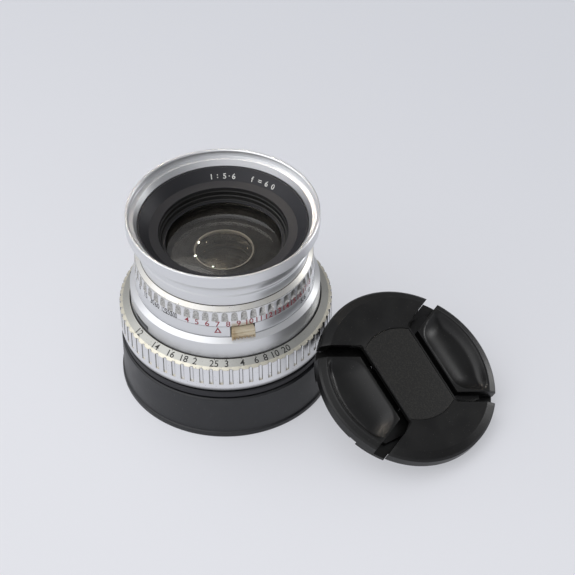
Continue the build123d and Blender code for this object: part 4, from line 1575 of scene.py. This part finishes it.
        dress(Stock.BLACK, "sync_lever")
        dress(Stock.BLACK_MATT, "shutter_base_plate", "shutter_cover_plate", "iris_cage", "ring_carrier")
        dress(Stock.BRASS, "shutter_pillars", "shutter_drive_ring", "iris_drive_ring")
        blades = [f"{kind}_blade_{n}" for kind in ("shutter", "iris") for n in range(1, 6)]
        dress(Stock.BLUED, *blades)


@dataclass
class FrontBarrel:
    """The flared front barrel, the lettered name ring, the front cell and its glasses."""

    foot_radius: float = 31.2
    carrier: float = 29.25
    ring_radius: float = 35.6
    wall_rise: float = 12.2
    wall_height: float = 5.2
    seat_radius: float = 34.4
    seat_depth: float = 2.3
    step_rise: float = 6.75
    cone_reach: float = 3.5
    cone_foot: float = 0.9
    ring_height: float = 4.5
    ledge: float = 23.8
    glass_radius: float = 22.0
    glass_edge: float = 2.7
    glass_curve: float = 90.0
    glass_hollow: float = 70.0
    inner_radius: float = 11.4
    inner_edge: float = 3.0
    rear_radius: float = 13.0
    rear_edge: float = 4.0
    play: float = 0.05

    def barrel(self, low: float) -> Shape:
        """The barrel: foot, thin bead, waist that flares on a smooth curve, front ring and seat.

        The flare is a cubic from the waist, rising straight up, to the front ring, leaving it at
        a slope of three up in four out.

        Args:
            low: the barrel's underside.

        Returns:
            The barrel.
        """
        foot, ring = self.foot_radius, self.ring_radius
        wall_low = low + self.wall_rise
        top = wall_low + self.wall_height
        seat = top - 0.4 - self.seat_depth
        step = low + self.step_rise
        start, end = np.array([foot + 0.4, low + 5.3]), np.array([ring, wall_low])
        pull, push = np.array([0.15, 3.6]), np.array([3.1, 2.1])
        t = np.linspace(0, 1, 17)[:, None]
        flare = (1 - t) ** 3 * start + 3 * (1 - t) ** 2 * t * (start + pull)
        flare = flare + 3 * (1 - t) * t**2 * (end - push) + t**3 * end
        lower = soft_outline(
            [
                (foot, low, 0.12),
                (foot + 0.1, low + 3.0, 0.3),
                (foot + 0.8, low + 3.5, 0.15),
                (foot + 0.8, low + 4.7, 0.6),
                (foot + 0.4, low + 5.3, 0.6),
                (foot - 1.5, low + 6.0, 0.1),
                (foot - 1.5, low, 0.1),
            ],
            3,
        )
        lower = lower[(lower[:, 0] > foot - 0.3) & (lower[:, 1] < low + 5.25)]
        upper = soft_outline(
            [
                (ring - 1.5, wall_low - 1.0, 0.1),
                (ring, wall_low, 1.1),
                (ring, top - 0.3, 0.2),
                (ring - 0.3, top, 0.15),
                (self.seat_radius + 0.45, top, 0.15),
                (self.seat_radius, top - 0.4, 0.15),
                (self.seat_radius, seat, 0.15),
                (self.seat_radius - 1.8, seat - 0.2, 0.15),
                (foot + 0.2, step + 5.7, 0.08),
                (foot + 0.2, step, 0.08),
                (self.carrier, step, 0.08),
                (self.carrier, low, 0.08),
            ],
            3,
        )
        upper = upper[4:]
        flare = flare[np.linalg.norm(flare - end, axis=1) > 1.2]
        line = np.concatenate([lower, flare, upper])
        keep = np.concatenate([[True], np.linalg.norm(np.diff(line, axis=0), axis=1) > 1e-4])
        return lathe(line[keep], around(320))

    def name_ring(self, low: float) -> Shape:
        """The black ring whose cone slopes in to a narrow ledge.

        Args:
            low: the ring's underside.

        Returns:
            The ring.
        """
        radius = self.foot_radius
        corners = [
            (self.ledge, low, 0.05),
            (radius, low, 0.08),
            (radius, low + self.ring_height, 0.15),
            (radius - 0.5, low + self.ring_height, 0.12),
            (radius - 0.5 - self.cone_reach, low + self.cone_foot, 0.25),
            (self.ledge, low + 0.45, 0.1),
        ]
        return lathe(soft_outline(corners, 4), around(256))

    def cell(self, low: float, glass_top: float, step: float, inner_top: float) -> Shape:
        """The stepped black cell that carries the glasses, with fine steps down its inside.

        Args:
            low: the cell's underside.
            glass_top: top of the front glass's edge.
            step: level of the step that the name ring stands on.
            inner_top: top of the second glass's edge.

        Returns:
            The cell.
        """
        glass, inner, play = self.glass_radius, self.inner_radius, self.play
        back_top = low + 1.2 + self.inner_edge
        glass_low = glass_top - self.glass_edge
        corners = [
            (inner + play, low, 0.05),
            (27.4, low, 0.1),
            (27.4, step, 0.1),
            (self.foot_radius, step, 0.1),
            (self.foot_radius, step + 1.0, 0.05),
            (self.ledge + 0.1, step + 1.0, 0.15),
            (self.ledge - 0.15, step + 0.1, 0.08),
            (self.ledge - 0.4, step - 0.15, 0.08),
            (self.ledge - 0.5, glass_top + 2.6, 0.1),
            (glass + 0.9, glass_top + 2.4, 0.1),
            (glass + 0.6, glass_top + 1.1, 0.1),
            (glass + play, glass_top + 0.9, 0.05),
            (glass + play, glass_low, 0.02),
            (glass - 1.2, glass_low, 0.05),
            (inner + 0.9, inner_top + 0.8, 0.2),
            (inner + play, inner_top + 0.8, 0.05),
            (inner + play, inner_top - self.inner_edge, 0.05),
            (inner - 1.0, inner_top - self.inner_edge, 0.1),
            (inner - 1.0, back_top + 0.3, 0.1),
            (inner + play, back_top + 0.3, 0.05),
        ]
        return lathe(soft_outline(corners, 3), around(224))

    def glass(self, radius: float, top: float, edge: float, crown: float, hollow: float) -> Shape:
        """A ground glass: both faces are parts of spheres, height +- (R - sqrt(R^2 - r^2)).

        Args:
            radius: the glass's radius.
            top: top of its edge.
            edge: thickness at its edge.
            crown: radius of its front face, below 0 where that is hollow.
            hollow: radius of its back face, above 0 where that is hollow.

        Returns:
            The glass.
        """
        r = radius * np.linspace(0, 1, 25)
        front = top + np.copysign(np.sqrt(crown**2 - r**2) - math.sqrt(crown**2 - radius**2), crown)
        back = top - edge + np.copysign(np.sqrt(hollow**2 - r**2) - math.sqrt(hollow**2 - radius**2), hollow)
        line = np.concatenate([np.c_[r, back], np.c_[r[::-1], front[::-1]]])
        return lathe(line, around(160))

    def retaining_ring(self, radius: float, low: float, high: float, lip: float) -> Shape:
        """A thin ring that holds a glass, its inner edges broken.

        Args:
            radius: the ring's outer radius.
            low: its underside.
            high: its top.
            lip: how far it reaches in.

        Returns:
            The ring.
        """
        bore = radius - lip
        corners = [(bore, low, 0.15), (radius, low, 0.03), (radius, high, 0.03), (bore, high, 0.2)]
        return lathe(soft_outline(corners, 3), around(192))

    def build(self) -> None:
        """Make every piece of the front and rear optics."""
        unit = "shutter_unit"
        low = level_of("front_barrel")
        place_piece(
            "front_barrel_body", self.barrel(low), Stock.CHROME.material(), unit, (
                "front_barrel",
            )
        )
        name_low = level_of("name_ring")
        place_piece(
            "name_ring_body",
            self.name_ring(name_low),
            Stock.BLACK.material(),
            unit,
            ("name_ring",),
        )
        radius = self.foot_radius - 0.5
        cone = Wall(
            (radius - self.cone_reach, name_low + self.cone_foot),
            (radius, name_low + self.ring_height),
            reads=-1,
        )
        words = [("1:5.6", (99.0, 94.4, 89.0, 85.6, 82.2)), ("f=60", (67.8, 61.5, 55.7, 49.8))]
        letters = [Figure(c, h, 2.0, -0.75, 0.03) for text, places in words for c, h in zip(text, places)]
        place_piece(
            "name_ring_figures", joined([figure_shape(f, cone, 0.025) for f in letters]),
            Stock.INK_WHITE.material(), unit,
        )  # fmt: skip
        cell_low, step = level_of("front_cell"), low + self.step_rise
        glass_top = name_low - 5.2
        inner_top = glass_top - self.glass_edge - 3.0
        place_piece(
            "front_cell_body", self.cell(cell_low, glass_top, step, inner_top), Stock.CELL.material(), unit,
            ("front_cell",),
        )  # fmt: skip
        back_top = cell_low + 1.2 + self.inner_edge
        rear_low, cage = level_of("rear_cell"), level_of("iris_cage")
        glasses = {
            "front_glass": (
                self.glass_radius, glass_top, self.glass_edge, self.glass_curve, self.glass_hollow
            ),
            "second_glass": (self.inner_radius, inner_top, self.inner_edge, -60.0, 45.0),
            "third_glass": (self.inner_radius, back_top, self.inner_edge, 45.0, 150.0),
            "rear_inner_glass": (self.rear_radius, cage - 0.6, self.rear_edge, 60.0, 120.0),
            "rear_glass": (self.rear_radius, rear_low + 1.55 + self.rear_edge, self.rear_edge, -80.0, -50.0),
        }
        for node, sizes in glasses.items():
            place_piece(
                node + "_disc", self.glass(*sizes), Stock.GLASS.material(), unit, (node,)
            )
        rings = {
            "front_glass_ring": (self.glass_radius, glass_top + 0.35, glass_top + 0.85, 0.7),
            "second_glass_ring": (self.inner_radius, inner_top + 0.05, inner_top + 1.2, 0.9),
            "third_glass_ring": (self.inner_radius, cell_low, back_top - self.inner_edge - 0.05, 0.9),
            "rear_glass_ring": (self.rear_radius, rear_low, rear_low + 1.2, 0.9),
        }
        for node, sizes in rings.items():
            stock = Stock.RING_EDGE if node == "second_glass_ring" else Stock.BLACK
            place_piece(
                node + "_turned",
                self.retaining_ring(*sizes),
                stock.material(),
                unit,
                (node,),
            )
        dress(Stock.BLACK_MATT, "rear_cell")


@dataclass
class Mount:
    """The mount plate with its bayonet, the fixed tube and what sits behind them."""

    def build(self) -> None:
        """Dress the mount's CAD nodes."""
        dress(Stock.STEEL, "mount_screws", "cocking_shaft")
        dress(Stock.BLACK, "mount_plate")
        dress(Stock.BLACK_MATT, "fixed_tube", "rear_baffle")
        dress(Stock.BRASS, "guide_keys")


@dataclass
class FrontCap:
    """The pinch-type front cap: shell, grained panel and two sprung finger levers.

    Its shapes are worked out level, with the pinch axis along X, and then laid where it leans.
    """

    radius: float = 35.2
    height: float = 8.2
    skin: float = 1.6
    flat_radius: float = 31.6
    spigot: float = 33.2
    spigot_height: float = 2.8
    spigot_wall: float = 1.6
    window_edge: float = 11.1
    window_corner: float = 17.5
    flare: float = 23.0
    lever_edge: float = 13.9
    lever_corner: float = 13.8
    lever_sink: float = 0.7
    lever_wall: float = 0.75
    lever_low: float = 2.9
    lever_floor: float = 1.2
    pocket_radius: float = 31.5
    fillet: float = 7.0
    panel_radius: float = 19.0
    panel_half: float = 10.5
    panel_depth: float = 0.7
    joints: list[dict] = field(default_factory=list)

    def frame(self) -> tuple[np.ndarray, np.ndarray]:
        """The cap's own axes as matrix columns, and its origin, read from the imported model."""
        axes = {j["name"]: np.array(j["axis"], float) for j in self.joints}
        normal = axes["front_cap_lift"] / np.linalg.norm(axes["front_cap_lift"])
        pinch = axes["front_cap_pinch_2"]
        pinch = pinch - normal * (pinch @ normal)
        pinch /= np.linalg.norm(pinch)
        low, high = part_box("front_cap_panel")
        middle = (np.array(low) + np.array(high)) / 2 / MM
        origin = middle - normal * (self.height - self.panel_depth / 2)
        return np.stack([pinch, np.cross(normal, pinch), normal], 1), origin

    def flared(self, edge: float, corner: float, radius: np.ndarray) -> np.ndarray:
        """Where a window's flared side meets a circle: (x, y), solved from (edge + s, corner + s tan a).

        Args:
            edge: distance of the window's straight edge from the middle.
            corner: where that edge ends.
            radius: radius of the circle, or several.

        Returns:
            One (x, y) row per radius.
        """
        tan = math.tan(math.radians(self.flare))
        a, b, c = 1 + tan**2, 2 * (edge + corner * tan), edge**2 + corner**2 - radius**2
        s = (-b + np.sqrt(b * b - 4 * a * c)) / (2 * a)
        return np.stack([edge + s, corner + s * tan], -1)

    def rim(self) -> np.ndarray:
        """The shell's outline past its flat face: slope, wall, spigot and inside, as (radius, height)."""
        inside = self.spigot - self.spigot_wall
        corners = [
            (10.0, self.height, 0.1),
            (self.flat_radius, self.height, 0.3),
            (self.radius - 0.8, self.height - 1.1, 0.25),
            (self.radius, self.height - 1.8, 0.3),
            (self.radius, self.spigot_height + 0.1, 0.2),
            (self.spigot, self.spigot_height, 0.1),
            (self.spigot, 0.1, 0.2),
            (inside, 0.0, 0.15),
            (inside, self.height - self.skin, 0.2),
            (10.0, self.height - self.skin, 0.1),
        ]
        line = soft_outline(corners, 3)
        return line[line[:, 0] > 12.0]

    def shell(self) -> Shape:
        """The face between the two windows, on a grid from edge to edge.

        Across, lines run from one window's edge to the other's. Along, they go from the cap's
        middle through the panel's edge and the flat face to the rim, down it, and back beneath.
        """
        inner = np.linspace(-1, 1, 33) * self.panel_half / self.window_edge
        columns = np.concatenate([[-1.0, inner[0]], inner, [inner[-1], 1.0]])
        inside = np.zeros(len(columns), bool)
        inside[2:-2] = True
        x = columns * self.window_edge
        arc = np.sqrt(self.panel_radius**2 - np.minimum(np.abs(x), self.panel_half) ** 2)
        past = np.clip((np.abs(x) - self.panel_half) / (self.window_edge - self.panel_half), 0, 1)
        arc = arc + past * (self.window_corner - arc)
        start = np.stack([x, arc], 1)
        rim = self.rim()
        span = np.arctan2(*self.flared(self.window_edge, self.window_corner, rim[:, 0]).T)
        circles = np.stack(
            [rim[:, :1] * np.sin(span[:, None] * columns), rim[:, :1] * np.cos(span[:, None] * columns)], -1
        )
        top, under = self.height, self.height - self.skin
        sunk = np.where(inside, top - self.panel_depth, top)
        rows = [np.c_[x, arc * t, sunk] for t in (0.0, 0.5, 1.0)]
        rows += [np.c_[start, np.full(len(x), top)]]
        rows += [np.c_[start + (circles[0] - start) * t, np.full(len(x), top)] for t in (0.35, 0.7)]
        rows += [np.c_[circles[i], np.full(len(x), rim[i, 1])] for i in range(len(rim))]
        rows += [np.c_[start + (circles[-1] - start) * t, np.full(len(x), under)] for t in (0.7, 0.35, 0.0)]
        rows += [np.c_[x, arc * t, np.full(len(x), under)] for t in (0.5, 0.0)]
        half = np.array(rows)
        other = (half * [1, -1, 1])[::-1][1:-1]
        grid = np.concatenate([half, other])
        count = len(columns)
        faces = grid_faces(len(grid), count, True, False).tolist()
        # The cut at each window: the rim's rows close on themselves, and each of the face's rows
        # meets its partner beneath, counted up from the last row
        size, flat_rows, partner = len(rows), 6, (0, 1, 2, 2, 3, 4, 5)
        for column in (0, count - 1):
            near = [r * count + column for r in range(size)]
            across = [(2 * size - 2 - r) * count + column for r in range(1, size - 1)]
            for side in (near, [near[0], *across, near[-1]]):
                faces.append(side[flat_rows : size - 4])
                for step in range(flat_rows):
                    beneath = side[size - 1 - partner[step + 1]], side[size - 1 - partner[step]]
                    faces.append(list(dict.fromkeys([side[step], side[step + 1], *beneath])))
        return Shape(grid.reshape(-1, 3), [tuple(f) for f in faces if len(f) > 2])

    def posts(self) -> Shape:
        """Four posts from the face down to the guide plate."""
        post = soft_outline([(0.6, 2.6, 0.1), (2.0, 2.6, 0.1), (2.0, 6.7, 0.05), (0.6, 6.7, 0.05)], 2)
        post = np.concatenate([[[0, 2.6]], post[post[:, 0] > 0.8], [[0, 6.7]]])
        one = lathe(post, around(24))
        return joined([one.moved(np.eye(3), (0, y, 0)) for y in (15, -15, 26, -26)])

    def panel(self) -> Shape:
        """The grained panel: a disc with two straight sides, its rim a shade lower than its face."""
        half, radius = self.panel_half - 0.1, self.panel_radius - 0.1
        reach = math.acos(half / radius)
        upper = np.linspace(reach, math.pi - reach, 33)
        arc = np.stack([radius * np.cos(upper), radius * np.sin(upper)], 1)
        plan = np.concatenate([arc, -arc])
        rows = []
        for scale, drop in ((1, self.panel_depth), (1, 0.2), (0.992, 0.05), (0.97, 0.0)):
            rows.append(np.c_[plan * scale, np.full(len(plan), self.height - drop)])
        return loft(np.array(rows))

    def lever(self) -> Shape:
        """A finger lever on the +X side: dished pocket in a thin ridge, sloping rim and walls.

        Columns fan out between the flared sides. The pocket's depth below the ridge is
        d (1 - (1 - m)^2) with m the distance from its nearest side over the fillet's
        length, the sides blended by a soft minimum, and d falls off towards the rim.
        """
        tan, wall = math.tan(math.radians(self.flare)), self.lever_wall
        inner_edge = self.lever_edge + wall
        shift = wall / math.cos(math.radians(self.flare)) - wall * tan
        inner_corner = self.lever_corner - shift
        top = self.height - self.lever_sink
        v = np.sin(np.linspace(-1, 1, 41) * math.pi / 2)
        v = 0.5 * v + 0.5 * np.linspace(-1, 1, 41)
        u = np.linspace(0, 1, 31)
        end_in = np.arctan2(*self.flared(inner_edge, inner_corner, self.pocket_radius)[::-1])
        near = np.stack([np.full(len(v), inner_edge), inner_corner * v], 1)
        far = self.pocket_radius * np.stack([np.cos(end_in * v), np.sin(end_in * v)], 1)
        pocket = near + u[:, None, None] * (far - near)
        side_near = np.array([inner_edge, self.lever_corner + wall * tan])
        side_far = self.flared(self.lever_edge, self.lever_corner, self.pocket_radius)
        side = side_near + u[:, None] * (side_far - side_near)
        px, py = pocket[..., 0], pocket[..., 1]
        from_edge = (px - inner_edge) * 0.6
        from_side = (inner_corner + (px - inner_edge) * tan - np.abs(py)) * math.cos(math.radians(self.flare))
        from_rim = (self.pocket_radius - np.hypot(px, py)) * 2.2
        shares = np.clip(np.stack([from_edge, from_side, from_rim]) / self.fillet, 0, 1)
        soft = 1 - np.minimum(((1 - shares) ** 4).sum(0) ** (1 / 4), 1)
        fall = 3.8 - 1.0 * (px - inner_edge) / (self.pocket_radius - inner_edge)
        dish = top - fall * (1 - (1 - soft) ** 2)
        crown = np.r_[-1.0, v, 1.0]
        outer_row = np.c_[np.full(len(crown), self.lever_edge), self.lever_corner * crown]
        rows = []

        def add_row(xy: np.ndarray, z: np.ndarray | float) -> None:
            """Add one row of the grid, with its level or levels."""
            rows.append(np.c_[xy, np.broadcast_to(z, len(xy))])

        add_row(outer_row, self.lever_low)
        add_row(outer_row, top)
        for k in range(len(u)):
            xy = np.concatenate([[side[k] * [1, -1]], pocket[k], [side[k]]])
            add_row(xy, np.r_[top, dish[k], top])
        rim = [
            (32.2, top, 0.1), (32.6, self.height - 0.92, 0.1), (34.5, self.height - 1.5, 0.2),
            (self.radius, self.height - 2.1, 0.3), (self.radius, self.lever_low, 0.2),
        ]  # fmt: skip
        line = soft_outline([(28.0, top), *rim, (28.0, self.lever_low)], 3)
        line = line[line[:, 0] > self.pocket_radius + 0.1]
        for radius, level in line:
            reach_out = np.arctan2(*self.flared(self.lever_edge, self.lever_corner, radius)[::-1])
            reach_in = np.arctan2(*self.flared(inner_edge, inner_corner, radius)[::-1])
            angle = np.r_[-reach_out, reach_in * v, reach_out]
            add_row(radius * np.stack([np.cos(angle), np.sin(angle)], 1), level)
        for k in range(len(u))[::-3]:
            add_row(np.concatenate([[side[k] * [1, -1]], pocket[k], [side[k]]]), self.lever_low)
        grid = np.array(rows)
        count, total = grid.shape[1], len(grid)
        faces = grid_faces(total, count, True, False).tolist()
        for column in (0, count - 1):
            faces.append([r * count + column for r in range(total)])
        return Shape(grid.reshape(-1, 3), faces)

    def lever_floor_plate(self) -> Shape:
        """The lever's floor plate, which slides under the shell."""
        radius, edge, half = 29.5, self.lever_edge - 3.8, 19.0
        stop = min(math.asin(half / radius), math.acos(edge / radius))
        arc = np.linspace(-stop, stop, 41)
        plan = [
            [edge, -half], *np.stack([radius * np.cos(arc), radius * np.sin(arc)], 1).tolist(), [edge, half]
        ]
        return prism(np.array(plan), self.lever_low + 0.01, self.lever_low + self.lever_floor)

    def catch(self) -> Shape:
        """The catch under the lever's rim, its outer face cut with three thread grooves."""
        outer, inner = self.spigot + 0.3, self.spigot - 1.4
        corners = [(inner, 0.0, 0.1), (outer, 0.0, 0.1)]
        for groove in (0.5, 1.2, 1.9):
            for side, level in ((outer, -0.15), (outer - 0.4, 0.15), (outer, 0.45)):
                corners.append((side, groove + level, 0.05))
        corners += [(outer, self.lever_low + 0.2, 0.05), (inner, self.lever_low + 0.2, 0.05)]
        half = math.radians(18)
        return sector(soft_outline(corners, 2), -half, half, 33)

    def build(self) -> None:
        """Make the cap's pieces where the cap leans."""
        axes, origin = self.frame()
        black = Stock.CAP_PLASTIC.material()
        shell = self.shell().plus(self.posts()).moved(axes, origin)
        place_piece(
            "cap_shell", shell, black, "front_cap", ("front_cap_shell",), bevel=0.18, sharp=35
        )
        panel = self.panel().moved(axes, origin)
        place_piece(
            "cap_panel",
            panel,
            Stock.GRAIN.material(),
            "front_cap",
            ("front_cap_panel",),
            sharp=50,
        )
        half_turn = np.diag([-1.0, -1.0, 1.0])
        lever = self.lever().plus(self.lever_floor_plate()).plus(self.catch())
        for number, turn in ((1, np.eye(3)), (2, half_turn)):
            node = f"front_cap_lever_{number}"
            piece = lever.moved(turn, (0, 0, 0)).moved(axes, origin)
            place_piece(
                f"cap_lever_{number}", piece, black, node, (node,), bevel=0.12, sharp=35
            )
        dress(Stock.CAP_PLASTIC, "front_cap_guide_plate")
        dress(Stock.STEEL, "front_cap_springs")


def dress(stock: Stock, *nodes: str) -> None:
    """Give CAD nodes a finish, leaving their shapes as they are."""
    for node in nodes:
        found = bpy.data.objects[node]
        found.data.materials.clear()
        found.data.materials.append(stock.material())
        log.info("%s dressed as %s", node, stock.name.lower())


# ---------------------------------------------------------------- studio


@dataclass
class Studio:
    """Pale table, soft light and the camera."""

    table: str = "#ECEDF2"
    table_glow: float = 0.5
    bright_side: tuple[float, float, float] = (-0.8, -0.47, 0.37)
    camera_place: tuple[float, float, float] = (0.0231, -0.7605, 0.7494)
    pitch: float = 43.09  # below the horizon
    roll: float = -1.02
    focal: float = 2800.0
    frame_width: float = 575.0
    sensor: float = 36.0

    def floor(self) -> None:
        """A wide matt table, with painted shade that darkens it a little towards the far right."""
        size = 2.5
        mesh = bpy.data.meshes.new("table_top")
        mesh.from_pydata(
            [(-size, -size, 0), (size, -size, 0), (size, size, 0), (-size, size, 0)], [], [(0, 1, 2, 3)]
        )
        top = bpy.data.objects.new("table_top", mesh)
        bpy.context.scene.collection.objects.link(top)
        material, tree = blank_material("painted_board")
        where = add_node(tree, "TexCoord")
        parts = add_node(tree, "SeparateXYZ", {0: where.outputs["Object"]})
        # Painted shade: the table's colour darkens towards the far right, where light from the softbox on the
        # left falls off
        slant = add_node(
            tree, "Math", {0: parts.outputs["X"], 1: 0.5, 2: parts.outputs["Y"]}, operation="MULTIPLY_ADD"
        )
        share = add_node(
            tree, "MapRange", {"Value": slant.outputs[0], "From Min": -0.15, "From Max": 0.35}, **EASED
        )
        colour = add_node(
            tree, "Mix", {0: share, 6: linear(self.table), 7: linear("#DBDDE3")}, **COLOURS
        ).outputs[2]
        mottle = add_node(
            tree, "TexNoise", {"Vector": where.outputs["Object"], "Scale": 900.0, "Detail": 2.0}
        )
        rough = add_node(tree, "MapRange", {"Value": mottle, "To Min": 0.55, "To Max": 0.7})
        surface = add_node(
            tree, "BsdfPrincipled", {
                "Base Color": colour, "Roughness": rough.outputs[0], "Specular IOR Level": 0.2
            }
        )
        # Part of the paleness is the board's own, so that shadows on it stay light
        glow = add_node(tree, "Emission", {"Color": colour, "Strength": 1.0})
        ray = add_node(tree, "LightPath")
        seen = add_node(
            tree,
            "Math",
            {0: ray.outputs["Is Camera Ray"], 1: ray.outputs["Is Glossy Ray"]},
            operation="MAXIMUM",
        )
        seen = add_node(tree, "Math", {0: seen, 1: ray.outputs["Is Transmission Ray"]}, operation="MAXIMUM")
        share = add_node(tree, "Math", {0: seen, 1: self.table_glow}, operation="MULTIPLY")
        both = add_node(tree, "MixShader", {0: share, 1: surface, 2: glow})
        add_node(tree, "OutputMaterial", {"Surface": both})
        mesh.materials.append(material)

    def light(self) -> None:
        """A bright plain room, and a soft lamp above on the left."""
        world = bpy.data.worlds.new("room")
        world.use_nodes = True
        tree = world.node_tree
        tree.nodes.clear()
        sky = add_node(tree, "TexCoord")
        facing = add_node(
            tree, "VectorMath", {0: sky.outputs["Generated"], 1: self.bright_side}, operation="DOT_PRODUCT"
        )
        level = add_node(
            tree,
            "MapRange",
            {
                "Value": facing.outputs["Value"],
                "From Min": -0.45,
                "From Max": 0.75,
                "To Min": 0.27,
                "To Max": 0.84,
            },
            interpolation_type="SMOOTHSTEP",
        )
        back = add_node(tree, "Background", {"Color": linear("#F4F5F9"), "Strength": level.outputs["Result"]})
        add_node(tree, "OutputWorld", {"Surface": back})
        bpy.context.scene.world = world
        self.lamp("softbox", (-0.9, -0.1, 1.6), "AREA", 2.6, 15.0)
        panel = self.lamp("side_panel", (1.23, 0.52, 0.33), "AREA", 0.56, 3.4)
        panel.visible_diffuse = False
        for number, place in enumerate(((-0.25, 0.7, 1.0), (-0.12, 0.6, 1.2), (-0.2, 0.8, 0.85))):
            bulb = self.lamp(f"bulb_{number}", place, "POINT", 0.008, 2.2)
            bulb.data.color = (1.0, 0.86, 0.7)
            bulb.visible_diffuse = False

    def lamp(
        self, name: str, place: tuple[float, float, float], kind: str, size: float, power: float
    ) -> bpy.types.Object:
        """A lamp that looks at the lens: a round softbox, or a bulb of a given radius.

        Args:
            name: the lamp's name.
            place: where it hangs, in metres.
            kind: AREA or POINT.
            size: a softbox's width, or a bulb's radius.
            power: its power in watts.

        Returns:
            The lamp.
        """
        lamp = bpy.data.lights.new(name, kind)
        lamp.energy = power
        if kind == "AREA":
            lamp.shape, lamp.size = "DISK", size
        else:
            lamp.shadow_soft_size = size
        holder = bpy.data.objects.new(name, lamp)
        bpy.context.scene.collection.objects.link(holder)
        holder.location = place
        aim = np.array([0.02, -0.01, 0.03]) - np.array(place)
        holder.rotation_euler = Vector(aim.tolist()).to_track_quat("-Z", "Y").to_euler()
        return holder

    def camera(self) -> None:
        """The camera, level across but for a slight roll."""
        data = bpy.data.cameras.new("camera")
        data.sensor_width, data.lens = self.sensor, self.focal / self.frame_width * self.sensor
        data.clip_start, data.clip_end = 0.05, 20.0
        holder = bpy.data.objects.new("camera", data)
        bpy.context.scene.collection.objects.link(holder)
        holder.location = self.camera_place
        tilt = Matrix.Rotation(math.radians(90 - self.pitch), 3, "X")
        roll = Matrix.Rotation(math.radians(self.roll), 3, "Z")
        holder.rotation_euler = (tilt @ roll).to_euler()
        bpy.context.scene.camera = holder

    def build(self) -> None:
        """Set the scene."""
        self.floor()
        self.light()
        self.camera()
        bpy.context.scene.view_settings.view_transform = "Standard"


def main() -> None:
    """Load the frame, build every sub-assembly, then set the studio."""
    logging.basicConfig(level=logging.INFO, format="%(message)s")
    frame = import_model()
    cap = FrontCap(joints=frame["joints"])
    for part in (Mount(), RearCap(), FocusRing(), ShutterUnit(), FrontBarrel(), cap):
        part.build()
        log.info("%s done", type(part).__name__)
    Studio().build()


if __name__ == "__main__":
    main()
